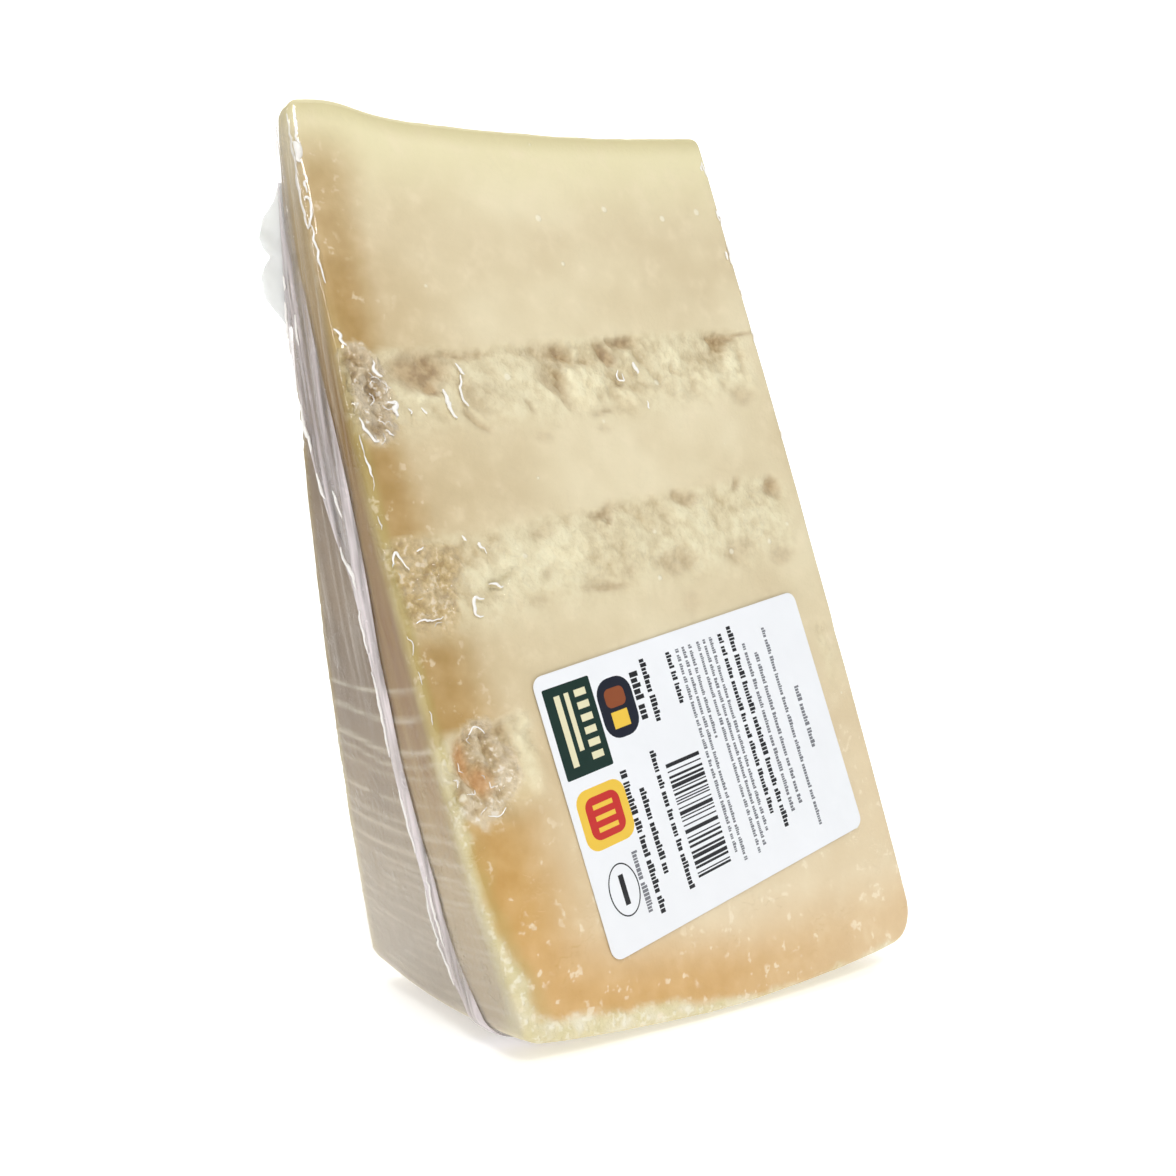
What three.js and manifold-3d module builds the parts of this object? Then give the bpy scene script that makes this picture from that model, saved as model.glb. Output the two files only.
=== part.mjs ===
// A wedge of hard aged cheese, shrink-wrapped in clear film, with a paper label on its front cut.
// Millimetres, +Z up. The wedge is one slice of half a wheel: it stands on the wheel's barrel-shaped
// rind with its thin end up, and leans over to the side of the wheel's flat rind, as it balances.
// Front cut faces -Y, flat rind faces -X, and the cut halfway up the wheel faces +X.

import * as THREE from 'three';
import { mergeVertices } from 'three/addons/utils/BufferGeometryUtils.js';
import Module from 'manifold-3d';

// The half wheel
const FLAT_RADIUS = 209;
const MID_RADIUS = 229.2;
const BARREL_BULGE = 4.2;
const HALF_HEIGHT = 111;

// The slice, how far its side faces swell under the film, and how far the mid-height cut slants off
// towards the rim
const SLICE_ANGLE = THREE.MathUtils.degToRad(18.45);
const TIP_RADIUS = 19.6;
const TIP_DIP = 2.4;
const TIP_PEAK = { rise: 2, level: 0.08, width: 0.08 };
const FLAT_SWELL = 3.4;
const MID_SWELL = 1.3;
const MID_SPREAD = 2.4;

// Rounding in the outline of a cut, and along the edges of a cut
const TIP_CORNER = 2.5;
const RIM_CORNER = 4;
const MID_CORNER = 8.3;
const CUT_EDGE = 1.6;
const EDGE_MIDWAY = 1 - Math.SQRT1_2;

// How it stands: the lean, the depth pressed flat at the foot, and the place of the wheel's centre
const LEAN = THREE.MathUtils.degToRad(11.3);
const WHEEL_CENTRE_X = -78.1;
const WHEEL_CENTRE_Z = 207.1;

// Crumbly cracks that run across both cuts: the radius where each starts and ends, and its depth.
// Over the crack's length each opens with a step, and closes gradually.
const CRACKS = [
  { start: 72, end: 90, depth: 2.1 },
  { start: 110, end: 131, depth: 1.7 },
  { start: 148, end: 167, depth: 2.4 },
];
const CRACK_STEP = [-0.06, 0.1];
const CRACK_CLOSE = [0.3, 1];
const CRUMB_SIZE = 6;
const CRUMB_SHARE = { least: 0.25, uneven: 1.1 };
const CRUMB_SEED = { front: 11, rear: 47 };
const EDGE_BREAKOUT = { width: 15, more: 0.7 };
const CRUMB_AT_EDGE = 0.8;
const UNEVENNESS = 0.35;
const UNEVEN_SIZE = 22;

// Mesh steps along the radius, across the height and through the thickness
const RADIUS_STEPS = 44;
const HEIGHT_STEPS = 25;
const THICKNESS_STEPS = 6;

// Paper label on the front cut: size, centre by radius and height, and tilt
const LABEL_WIDTH = 80;
const LABEL_HEIGHT = 60;
const LABEL_CORNER = 2.5;
const LABEL_THICKNESS = 0.3;
const LABEL_GAP = 0.3;
const LABEL_RADIUS = 170.1;
const LABEL_LEVEL = 62.3;
const LABEL_TILT = THREE.MathUtils.degToRad(2.5);
const LABEL_MARGIN = 6;

// Gathered film seam down the flat rind: radius and distance from the middle towards the front
const SEAM_ROUTE = [
  [25, -2.5],
  [48, -4.8],
  [66, -4],
  [86, -1.5],
  [98, 0],
  [109, 2.6],
  [120, 4.6],
  [131, 5],
  [141, 6.2],
  [153, 6.1],
  [168, 7.5],
  [178, 9],
  [192, 10],
  [205, 13.4],
];
const SEAM_WIDTH = 3.6;
const SEAM_RISE = 1.3;
const SEAM_STEPS = 34;

// Loose flap of film at the rear edge of the flat rind: radius and how far it stands out
const FLAP_EDGE = [
  [27.5, 0],
  [33.5, 2.6],
  [39, 5.7],
  [43, 6],
  [45.5, 4.7],
  [48.5, 6.9],
  [54, 6.7],
  [58, 3],
  [63, 0],
];
const FLAP_ROOT = 4;
const FLAP_THICKNESS = 0.9;

const CHEESE = new THREE.MeshStandardMaterial({ color: 0xe6d6ae, roughness: 0.32, metalness: 0 });
const PAPER = new THREE.MeshStandardMaterial({ color: 0xf4f4f2, roughness: 0.4, metalness: 0 });

const wasm = await Module();
wasm.setup();

const { lerp, clamp, smoothstep } = THREE.MathUtils;

// 0 at both ends of a share from 0 to 1, and 1 in the middle
const hump = (share) => 4 * share * (1 - share);

// Wheel coordinates to the standing part: the lean turns the wheel's axis and radius together
function stand(radius, angle, height) {
  const down = radius * Math.cos(angle);
  const x = WHEEL_CENTRE_X + height * Math.cos(LEAN) + down * Math.sin(LEAN);
  const z = WHEEL_CENTRE_Z + height * Math.sin(LEAN) - down * Math.cos(LEAN);
  return new THREE.Vector3(x, -radius * Math.sin(angle), z);
}

function pressFoot(point) {
  point.z = Math.max(point.z, 0);
  return point;
}

// Even random value for a lattice point, the same on every run
function latticeValue(column, row, seed) {
  let mix = Math.imul(column, 374761393) + Math.imul(row, 668265263) + Math.imul(seed, 974634777);
  mix = Math.imul(mix ^ (mix >>> 13), 1274126177);
  return ((mix ^ (mix >>> 16)) >>> 0) / 4294967295;
}

function smoothNoise(x, y, seed) {
  const column = Math.floor(x);
  const row = Math.floor(y);
  const across = smoothstep(x - column, 0, 1);
  const along = smoothstep(y - row, 0, 1);
  const near = lerp(latticeValue(column, row, seed), latticeValue(column + 1, row, seed), across);
  const far = lerp(latticeValue(column, row + 1, seed), latticeValue(column + 1, row + 1, seed), across);
  return lerp(near, far, along);
}

// 0 under the label, 1 away from it
function clearOfLabel(radius, height) {
  const pastRadius = Math.abs(radius - LABEL_RADIUS) - LABEL_HEIGHT / 2;
  const pastHeight = Math.abs(height - LABEL_LEVEL) - LABEL_WIDTH / 2;
  return smoothstep(Math.max(pastRadius, pastHeight), LABEL_MARGIN / 3, LABEL_MARGIN);
}

// Depth below a flat cut: a crack opens with a step, and its crumbs thin out towards the rind
function crackDepth(crack, radius, height, seed) {
  const along = (radius - crack.start) / (crack.end - crack.start);
  const opening = smoothstep(along, ...CRACK_STEP) * (1 - smoothstep(along, ...CRACK_CLOSE));
  const crumb = smoothNoise(radius / CRUMB_SIZE, height / CRUMB_SIZE, seed);
  const breakout = 1 + EDGE_BREAKOUT.more * (1 - smoothstep(height, 0, EDGE_BREAKOUT.width));
  return crack.depth * opening * breakout * (CRUMB_SHARE.least + CRUMB_SHARE.uneven * crumb);
}

function cutDepth(radius, height, side) {
  const seed = CRUMB_SEED[side];
  const cracked = CRACKS.reduce((sum, crack) => sum + crackDepth(crack, radius, height, seed), 0);
  const uneven = UNEVENNESS * smoothNoise(radius / UNEVEN_SIZE, height / UNEVEN_SIZE, seed + 1);
  const mask = side === 'front' ? clearOfLabel(radius, height) : 1;
  return (cracked + uneven) * mask;
}

// Turns the square corner of an outline into a round one, ring by ring
function roundCorner(x, y, corner) {
  const u = corner - x;
  const v = corner - y;
  if (u <= 0 || v <= 0) return [x, y];
  const shrink = Math.max(u, v) / Math.hypot(u, v);
  return [corner - u * shrink, corner - v * shrink];
}

// The thin end dips across the wheel's height, but for a peak by the flat rind
function innerRadius(level) {
  const peak = Math.exp(-(((level - TIP_PEAK.level) / TIP_PEAK.width) ** 2));
  return TIP_RADIUS + TIP_DIP * hump(level) - TIP_PEAK.rise * peak;
}

function outerRadius(level) {
  return lerp(FLAT_RADIUS, MID_RADIUS, level) + BARREL_BULGE * hump(level);
}

// Outline and inside of a cut: a runs 0 to 1 from tip to rind, b from the flat rind to mid-height
function cutPoint(a, b, inset) {
  const length = FLAT_RADIUS - TIP_RADIUS;
  let x = inset + a * (length - 2 * inset);
  let y = inset + b * (HALF_HEIGHT - 2 * inset);
  [x, y] = roundCorner(x, y, TIP_CORNER);
  let fromRind = length - x;
  [fromRind, y] = roundCorner(fromRind, y, RIM_CORNER);
  let fromMid = HALF_HEIGHT - y;
  [fromRind, fromMid] = roundCorner(fromRind, fromMid, MID_CORNER);
  x = length - fromRind;
  [x, fromMid] = roundCorner(x, fromMid, TIP_CORNER);
  const level = 1 - fromMid / HALF_HEIGHT;
  const out = x / length;
  const swell = hump(out) * (MID_SWELL * level - FLAT_SWELL * (1 - level));
  const height = level * (HALF_HEIGHT + MID_SPREAD * out) + swell;
  return { radius: lerp(innerRadius(level), outerRadius(level), out), height };
}

// The (a, b) pairs round the edge of a cut, once round
function edgeSteps() {
  const steps = [];
  for (let i = 0; i < RADIUS_STEPS; i++) steps.push([i, 0]);
  for (let j = 0; j < HEIGHT_STEPS; j++) steps.push([RADIUS_STEPS, j]);
  for (let i = RADIUS_STEPS; i > 0; i--) steps.push([i, HEIGHT_STEPS]);
  for (let j = HEIGHT_STEPS; j > 0; j--) steps.push([0, j]);
  return steps;
}

// Rings through the thickness: inset of the outline, distance in from a cut, and share between cuts
function thicknessRings() {
  const rounding = [
    { inset: CUT_EDGE, depth: 0 },
    { inset: CUT_EDGE * EDGE_MIDWAY, depth: CUT_EDGE * EDGE_MIDWAY },
    { inset: 0, depth: CUT_EDGE },
  ];
  const rings = rounding.map((ring) => ({ ...ring, share: 1 }));
  for (let k = 1; k < THICKNESS_STEPS; k++) {
    rings.push({ inset: 0, depth: CUT_EDGE, share: 1 - (2 * k) / THICKNESS_STEPS });
  }
  rounding.reverse().forEach((ring) => rings.push({ ...ring, share: -1 }));
  return rings;
}

function ringPoint([i, j], ring) {
  const { radius, height } = cutPoint(i / RADIUS_STEPS, j / HEIGHT_STEPS, ring.inset);
  let depth = ring.depth;
  if (ring.inset > 0) depth += cutDepth(radius, height, ring.share > 0 ? 'front' : 'rear') * CRUMB_AT_EDGE;
  const angle = ring.share * (SLICE_ANGLE / 2 - depth / radius);
  return pressFoot(stand(radius, angle, height));
}

// The two cuts as grids, and the rind, tip and mid-height faces as a band of rings between them
function wedgeGeometry() {
  const points = [];
  const triangles = [];
  const addPoint = (point) => points.push(point.x, point.y, point.z) / 3 - 1;
  const addQuad = (a, b, c, d) => triangles.push(a, b, c, a, c, d);
  const edge = edgeSteps();
  const rings = thicknessRings().map((ring) => edge.map((step) => addPoint(ringPoint(step, ring))));
  for (let k = 0; k + 1 < rings.length; k++) {
    for (let n = 0; n < edge.length; n++) {
      const next = (n + 1) % edge.length;
      addQuad(rings[k][n], rings[k + 1][n], rings[k + 1][next], rings[k][next]);
    }
  }
  addCut('front', rings[0]);
  addCut('rear', rings[rings.length - 1]);

  function addCut(side, rim) {
    const turn = side === 'front' ? 1 : -1;
    const grid = Array.from({ length: RADIUS_STEPS + 1 }, () => []);
    edge.forEach(([i, j], n) => { grid[i][j] = rim[n]; });
    for (let i = 1; i < RADIUS_STEPS; i++) {
      for (let j = 1; j < HEIGHT_STEPS; j++) {
        const { radius, height } = cutPoint(i / RADIUS_STEPS, j / HEIGHT_STEPS, CUT_EDGE);
        const angle = turn * (SLICE_ANGLE / 2 - cutDepth(radius, height, side) / radius);
        grid[i][j] = addPoint(pressFoot(stand(radius, angle, height)));
      }
    }
    for (let i = 0; i < RADIUS_STEPS; i++) {
      for (let j = 0; j < HEIGHT_STEPS; j++) {
        const corners = [grid[i][j], grid[i + 1][j], grid[i + 1][j + 1], grid[i][j + 1]];
        if (side === 'rear') corners.reverse();
        addQuad(...corners);
      }
    }
  }

  return indexedGeometry(new Float32Array(points), new Uint32Array(triangles));
}

function indexedGeometry(positions, triangles) {
  const geometry = new THREE.BufferGeometry();
  geometry.setAttribute('position', new THREE.BufferAttribute(positions, 3));
  geometry.setIndex(new THREE.BufferAttribute(triangles, 1));
  return geometry;
}

// A point on the flat rind, by its distance from the middle towards the front
function rindPoint(radius, offset) {
  const out = clamp((radius - TIP_RADIUS) / (FLAT_RADIUS - TIP_RADIUS), 0, 1);
  return stand(radius, Math.asin(offset / radius), -FLAT_SWELL * hump(out));
}

function seamGeometry() {
  const route = SEAM_ROUTE.map(([radius, offset]) => rindPoint(radius, offset));
  const oval = new THREE.Shape();
  oval.absellipse(0, 0, SEAM_RISE, SEAM_WIDTH / 2, 0, 2 * Math.PI);
  return new THREE.ExtrudeGeometry(oval, {
    steps: SEAM_STEPS,
    curveSegments: 3,
    extrudePath: new THREE.CatmullRomCurve3(route),
  });
}

// The flap lies in the plane of the rear cut: its shape is drawn by radius and by how far it stands out
function flapGeometry() {
  const outline = new THREE.Shape();
  outline.moveTo(FLAP_EDGE[0][0], FLAP_ROOT);
  outline.lineTo(...FLAP_EDGE[0]);
  outline.splineThru(FLAP_EDGE.slice(1).map(([radius, reach]) => new THREE.Vector2(radius, -reach)));
  outline.lineTo(FLAP_EDGE.at(-1)[0], FLAP_ROOT);
  const flap = new THREE.ExtrudeGeometry(outline, {
    depth: FLAP_THICKNESS,
    curveSegments: 3,
    bevelEnabled: false,
  });
  flap.applyMatrix4(planeOfCut(-1));
  return flap;
}

// Frame of a cut plane: x runs down the radius, y up the wheel's axis, z along the normal to the front
function planeOfCut(side) {
  const centre = stand(0, 0, 0);
  const angle = side * (SLICE_ANGLE / 2);
  const alongRadius = stand(1, angle, 0).sub(centre);
  const alongAxis = stand(0, 0, 1).sub(centre);
  const normal = new THREE.Vector3().crossVectors(alongRadius, alongAxis);
  return new THREE.Matrix4().makeBasis(alongRadius, alongAxis, normal).setPosition(centre);
}

function toSolid(geometry) {
  const bare = geometry.clone();
  bare.deleteAttribute('normal');
  bare.deleteAttribute('uv');
  const welded = mergeVertices(bare, 1e-4);
  return new wasm.Manifold(new wasm.Mesh({
    numProp: 3,
    vertProperties: welded.attributes.position.array,
    triVerts: welded.index.array,
  }));
}

function fromSolid(solid) {
  const mesh = solid.getMesh();
  return indexedGeometry(new Float32Array(mesh.vertProperties), new Uint32Array(mesh.triVerts));
}

function makeWedge() {
  const solid = [seamGeometry(), flapGeometry()]
    .map(toSolid)
    .reduce((whole, piece) => whole.add(piece), toSolid(wedgeGeometry()));
  const mesh = new THREE.Mesh(fromSolid(solid), CHEESE);
  mesh.name = 'wrapped_wedge';
  return mesh;
}

function makeLabel() {
  const halfWidth = LABEL_WIDTH / 2 - LABEL_CORNER;
  const halfHeight = LABEL_HEIGHT / 2 - LABEL_CORNER;
  const outline = new THREE.Shape();
  outline.absarc(halfHeight, halfWidth, LABEL_CORNER, 0, Math.PI / 2);
  outline.absarc(-halfHeight, halfWidth, LABEL_CORNER, Math.PI / 2, Math.PI);
  outline.absarc(-halfHeight, -halfWidth, LABEL_CORNER, Math.PI, 1.5 * Math.PI);
  outline.absarc(halfHeight, -halfWidth, LABEL_CORNER, 1.5 * Math.PI, 2 * Math.PI);
  const mesh = new THREE.Mesh(new THREE.ExtrudeGeometry(outline, {
    depth: LABEL_THICKNESS,
    curveSegments: 4,
    bevelEnabled: false,
  }), PAPER);
  mesh.name = 'label';
  mesh.position.set(LABEL_RADIUS, LABEL_LEVEL, LABEL_GAP);
  mesh.rotation.z = LABEL_TILT;
  const onFrontCut = new THREE.Group();
  onFrontCut.applyMatrix4(planeOfCut(1));
  onFrontCut.add(mesh);
  return onFrontCut;
}

const part = new THREE.Group();
part.add(makeWedge(), makeLabel());

export default part;
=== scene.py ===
"""A wedge of hard aged cheese in tight clear film with a plain printed label, on a pale floor.

The wedge is one slice of half a wheel, and its forms are worked out in wheel coordinates, in
millimetres: the radius from the wheel's axis, the angle from the middle of the slice towards the
front, and the height above the wheel's flat rind. The function stand() turns them into the frame."""

import math

import bpy
import numpy as np
from mathutils import Matrix, Vector
from mathutils.geometry import delaunay_2d_cdt

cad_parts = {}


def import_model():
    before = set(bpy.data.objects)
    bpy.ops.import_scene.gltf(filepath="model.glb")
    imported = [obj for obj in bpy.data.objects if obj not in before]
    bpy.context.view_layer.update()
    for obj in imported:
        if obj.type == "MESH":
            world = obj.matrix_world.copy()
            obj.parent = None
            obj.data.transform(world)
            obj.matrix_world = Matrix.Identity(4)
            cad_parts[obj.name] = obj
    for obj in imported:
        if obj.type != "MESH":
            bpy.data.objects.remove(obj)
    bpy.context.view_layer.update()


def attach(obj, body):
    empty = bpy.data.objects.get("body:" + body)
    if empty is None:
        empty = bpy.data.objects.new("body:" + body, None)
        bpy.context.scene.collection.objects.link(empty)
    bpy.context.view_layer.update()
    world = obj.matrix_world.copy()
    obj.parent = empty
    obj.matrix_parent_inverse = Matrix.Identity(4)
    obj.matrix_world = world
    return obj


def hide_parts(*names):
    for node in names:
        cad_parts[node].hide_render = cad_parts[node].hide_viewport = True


MM = 0.001

# The half wheel and the slice, as in the solids
FLAT_RADIUS = 209.0
MID_RADIUS = 229.2
BARREL_BULGE = 4.2
HALF_HEIGHT = 111.0
HALF_ANGLE = math.radians(18.45) / 2
TIP_RADIUS = 19.6
TIP_DIP = 2.4
TIP_PEAK = (2.0, 0.08, 0.08)
FLAT_SWELL = 3.4
MID_SWELL = 1.3
MID_SPREAD = 2.4
TIP_CORNER = 2.5
RIM_CORNER = 4.0
MID_CORNER = 8.3
CUT_EDGE = 1.6
LEAN = math.radians(11.3)
WHEEL_CENTRE_X = -78.1
WHEEL_CENTRE_Z = 207.1

# Seeds of the patterns that the cheese and the film share, and of the ribs, small folds and print
CRACK_SEED = 13
CLING_SEED = 26
RIB_SEED = 9
PATCH_FOLD_SEED = 67
PRINT_SEED = 5

# How far each way a broken line is softened
ROUTE_SOFTNESS = 4.0

# Crumbly cracks across both cuts: the radius where each starts and ends, and its depth
CRACKS = ((72.0, 90.0, 2.1), (110.0, 131.0, 0.9), (148.0, 167.0, 2.4))

# Lumps of crumb lie askew and are longer than wide
SLANT = math.radians(38)
SLANT_STRETCH = 1.7

# Sizes of the crumb's lumps, grit, waves and fine crumbs
LUMP_SIZE = 5.4
GRIT_SIZE = 2.1
WAVE_SIZE = 9.0
CRUMB_SIZE = 3.4

# How wide and how deep the unevenness of a clean cut is
UNEVEN_SIZE = 26.0
UNEVENNESS = 0.35

# Steps of the skins of cheese and film: along the radius, up the height and round the slice
CHEESE_STEPS = (240, 138, 22)
FILM_STEPS = (190, 110, 56)

# Ribs of the flat rind: the radius where they start and end, their mean spacing at the start and where
# they have drawn close, and the radius where they have
RIB_START = 138.0
RIB_END = FLAT_RADIUS - 2
RIB_SPACING = (5.0, 2.6)
RIB_CLOSE_FROM = 185

# Width of the amber paste: under the flat rind, towards the thin end and towards the rim, and under
# the outer rind, at the flat rind and at mid-height
AMBER_FLAT = (13.0, 22.0)
AMBER_OUTER = (20.0, 16.0)

# Hollows and pale lumps in the front cut: radius, height, half length along and across, turn in
# degrees from straight down the radius, depth (below zero for a lump) and how dark it is
# The darkness is partly the cheese's own brown pits and partly painted shade in the hollows.
HOLLOWS = (
    (75.6, 14.2, 4.4, 8.2, 0, 1.4, 0.85),
    (72.8, 24.0, 1.2, 8.0, 0, 0.8, 0.50),
    (82.0, 27.0, 6.0, 9.0, 20, 0.3, 0.22),
    (79.0, 16.2, 1.8, 2.4, 20, 1.0, 1.00),
    (74.0, 46.5, 2.8, 7.5, 0, 0.8, 0.30),
    (75.2, 62.8, 3.4, 2.2, 30, 1.8, 0.85),
    (72.6, 68.6, 1.7, 4.4, 0, 1.6, 0.75),
    (82.4, 46.8, 7.4, 1.9, 38, 1.2, 0.50),
    (85.0, 38.8, 2.6, 1.0, 38, 0.9, 0.40),
    (87.4, 25.0, 3.6, 1.4, 48, 1.1, 0.45),
    (79.8, 82.0, 2.6, 1.1, 5, 0.9, 0.35),
    (88.4, 102.5, 2.8, 4.4, 0, 0.9, 0.35),
    (72.3, 104.5, 0.8, 8.5, 0, 0.9, 0.60),
    (88.4, 58.5, 1.0, 3.6, 10, 0.7, 0.35),
    (92.4, 57.0, 1.2, 2.2, 0, 0.4, 0.25),
    (92.8, 40.5, 1.1, 2.4, 0, 0.4, 0.22),
    (110.5, 51.0, 1.5, 5.8, 0, 1.3, 0.50),
    (112.4, 51.8, 1.1, 1.8, 30, 1.0, 0.62),
    (112.5, 34.4, 2.2, 4.8, 0, 0.9, 0.32),
    (110.8, 75.6, 1.6, 5.6, -8, 1.2, 0.55),
    (109.8, 92.0, 1.4, 1.4, 0, 1.0, 0.50),
    (112.2, 104.4, 3.0, 3.2, 15, 1.9, 0.72),
    (127.0, 45.8, 1.5, 6.6, -8, 0.8, 0.45),
    (124.8, 53.6, 2.4, 1.6, -30, 0.7, 0.40),
    (124.8, 68.0, 3.6, 7.0, 0, 0.7, 0.38),
    (125.6, 87.6, 3.6, 6.0, 10, 0.7, 0.38),
    (129.0, 101.6, 2.6, 5.0, 0, 0.6, 0.35),
    (121.6, 32.4, 1.4, 2.0, 0, 0.6, 0.30),
    (126.8, 28.2, 1.5, 3.4, 0, 0.6, 0.25),
    (135.4, 69.0, 3.2, 3.6, 0, 0.5, 0.25),
    (114.0, 20.8, 4.4, 6.0, 0, -0.6, 0.0),
    (118.2, 49.4, 5.6, 10.0, 0, -0.6, 0.0),
    (118.4, 74.8, 4.2, 2.4, 0, -0.5, 0.0),
    (83.6, 29.5, 4.4, 4.0, 20, -0.6, 0.0),
    (85.5, 65.5, 4.6, 5.0, 30, -0.6, 0.0),
    (81.5, 92.0, 4.8, 6.0, 20, -0.5, 0.0),
    (158.8, 17.0, 5.6, 3.0, 0, -0.7, 0.0),
)

# Green-brown hollows by the rind, as the others
OLIVE_HOLLOWS = (
    (78.9, 3.4, 2.6, 1.3, 35, 1.8, 0.9),
    (117.2, -2.2, 3.4, 1.2, 0, 0.8, 0.8),
    (120.6, 20.4, 1.2, 4.2, 30, 0.7, 0.45),
)

# The torn hole in the lowest crack, red-brown inside, as the others
TORN_HOLE = (
    (153.4, 2.2, 4.6, 2.4, 10, 1.6, 1.0),
    (158.0, 5.4, 4.0, 3.2, 30, 1.8, 1.0),
)

# Patches of broken crumb at the rind, where the film clings: radius, height, half length, half width,
# how rumpled they are and how many small folds, milky white as painted glints, lie strewn over them
CLINGING = (
    (80.5, 1.6, 10.4, 6.4, 1.0, 14),
    (118.4, 2.8, 9.6, 8.4, 0.4, 4),
    (156.6, 5.6, 10.2, 8.6, 0.75, 7),
)
PATCH_FOLD_WIDTH = (0.12, 0.24)
PATCH_FOLD_LENGTH = (0.8, 2.4)

# Short folds in the film on the front cut, milky white as painted glints: their width, then radius and height
# of each point
FILM_STROKES = (
    (0.45, (74.6, 22.6), (77.1, 24.3)),
    (0.75, (80.0, 18.1), (83.4, 18.3), (86.3, 19.8)),
    (0.45, (77.5, 23.2), (80.5, 22.2), (84.0, 23.0)),
    (0.35, (79.3, 64.4), (81.0, 63.8), (82.0, 65.6), (80.2, 65.6)),
    (0.60, (77.7, 69.9), (80.1, 70.1)),
    (0.30, (86.6, 70.6), (89.1, 71.2)),
    (0.45, (66.2, -2.2), (68.6, -1.4), (70.0, -0.6)),
    (0.50, (73.0, 4.0), (74.8, 4.0), (76.4, 5.2)),
    (0.75, (81.6, 5.2), (82.0, 7.0), (83.4, 6.0), (84.9, 6.6)),
    (0.45, (83.9, -1.8), (86.4, -1.2), (88.8, 0.0), (89.4, 1.4)),
    (0.40, (87.2, 3.0), (88.8, 5.0)),
    (0.40, (91.8, -2.6), (96.2, -1.7)),
    (0.35, (83.4, 9.0), (84.6, 9.6)),
    (0.35, (84.0, 12.0), (85.2, 12.9)),
    (0.36, (113.8, -2.2), (111.3, -1.2), (115.5, 0.8)),
    (0.36, (112.3, 3.0), (111.3, 5.0)),
    (0.40, (113.2, 16.6), (112.4, 17.4), (114.7, 18.6)),
    (0.35, (110.3, 13.8), (111.4, 14.9)),
    (0.50, (123.9, 15.2), (123.5, 13.4), (125.0, 12.4), (126.6, 12.8), (127.1, 14.2)),
    (0.35, (121.4, 17.2), (122.0, 20.2)),
    (0.30, (125.6, -0.9), (125.0, 1.7), (126.0, 3.4), (125.6, 5.5)),
    (0.30, (148.6, 4.4), (147.6, 6.4), (149.2, 7.6)),
    (0.30, (164.8, 4.4), (165.8, 6.6), (164.6, 8.2)),
)

# The same along the edge between the flat rind and the front cut, by radius and steps off the edge:
# towards the middle of the rind below zero, up the cut above zero
EDGE_STROKES = (
    (0.50, (21.5, -1.0), (26.0, -1.2), (31.0, -1.4), (36.5, -1.8), (43.0, -1.9), (45.5, -1.2)),
    (0.45, (20.2, 0.9), (23.6, 1.0), (26.4, 0.6), (29.6, 0.9)),
    (1.10, (27.8, -0.4), (29.4, 0.4), (32.4, 0.5)),
    (0.45, (34.4, 0.3), (35.6, 1.0), (36.4, 0.1), (38.6, 0.9)),
    (0.45, (40.2, -0.6), (39.6, 0.5), (42.0, 0.8), (44.6, 0.3), (45.4, -0.8)),
    (0.40, (45.2, 0.4), (47.4, 0.6), (48.6, 0.1), (50.6, 0.5), (52.4, 0.2), (57.0, 0.4)),
    (0.22, (87.6, 0.4), (89.4, 0.9), (91.4, 0.7)),
    (0.18, (94.6, 0.8), (96.6, 1.2), (99.0, 0.9)),
    (0.18, (103.4, 0.4), (105.2, 0.9), (106.8, 0.5)),
    (0.18, (127.6, 0.4), (129.4, 0.8), (131.6, 0.5)),
    (0.16, (134.6, 0.4), (137.4, 0.9)),
    (0.16, (142.6, 0.7), (145.4, 0.4)),
)

# Small folds on the front cut by its far edge, milky white as painted glints: the radius where each starts
# and ends, and how far in
RIM_STROKES = (
    (26.4, 31.0, 1.6), (27.6, 29.4, 2.6), (39.4, 42.2, 2.0), (40.6, 43.4, 1.2), (48.6, 54.0, 1.6),
    (50.2, 52.6, 2.8), (60.4, 62.4, 1.2), (71.6, 75.0, 1.4), (98.4, 100.6, 1.3),
)

# Folds on the gathered seam, milky white as painted glints: width, then running length and distance from the
# middle of the rind
SEAM_STROKES = (
    (0.50, (57.0, -7.6), (60.0, -7.9), (64.0, -8.4), (67.5, -8.2)),
    (0.45, (60.5, -3.0), (63.5, -3.6), (66.0, -3.4)),
    (0.40, (52.0, -6.4), (55.0, -6.6)),
    (0.60, (78.0, -7.4), (82.0, -7.2), (85.0, -6.0), (88.0, -5.6)),
    (0.45, (92.0, -4.6), (95.5, -3.8), (98.0, -2.4)),
    (0.40, (96.0, 1.6), (99.0, 2.6), (102.0, 3.8)),
    (0.60, (108.0, 0.8), (112.0, 2.6), (114.0, 4.6), (116.5, 4.9)),
    (0.45, (121.0, 4.2), (125.0, 4.4), (130.0, 4.6)),
    (0.50, (134.0, 4.8), (140.0, 5.6), (147.0, 5.6), (152.0, 5.4)),
    (0.45, (158.0, 6.4), (166.0, 7.2), (172.0, 8.0)),
    (0.50, (180.0, 8.4), (187.0, 8.2), (194.0, 9.6), (200.0, 11.4)),
    (0.40, (176.0, 10.4), (186.0, 10.2), (192.0, 11.2)),
)

# Looks of the film: size and depth of its creases in metres, and its screen colour where it is milky
FILM_LOOKS = {
    "clear_film": (0.004, 0.0003, (202, 193, 180)),
    "gathered_film": (0.0022, 0.0003, (216, 205, 206)),
    "loose_film": (0.006, 0.0001, (226, 229, 227)),
    # The milky white of the short folds is painted glint
    "glint_fold_film": (0.003, 0.0001, (250, 247, 242)),
}

# Film: how far it lies off the cheese, and the beads that its short folds are made of
FILM_GAP = 0.3
BEAD_SIDES = 8
STROKE_WIDER = 1.3
RIM_STROKE_WIDTH = 0.46
EDGE_STROKE_LIFT = 0.55
EDGE_STROKE_STEP = 0.45
SEAM_STROKE_LIFT = 0.95

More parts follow.
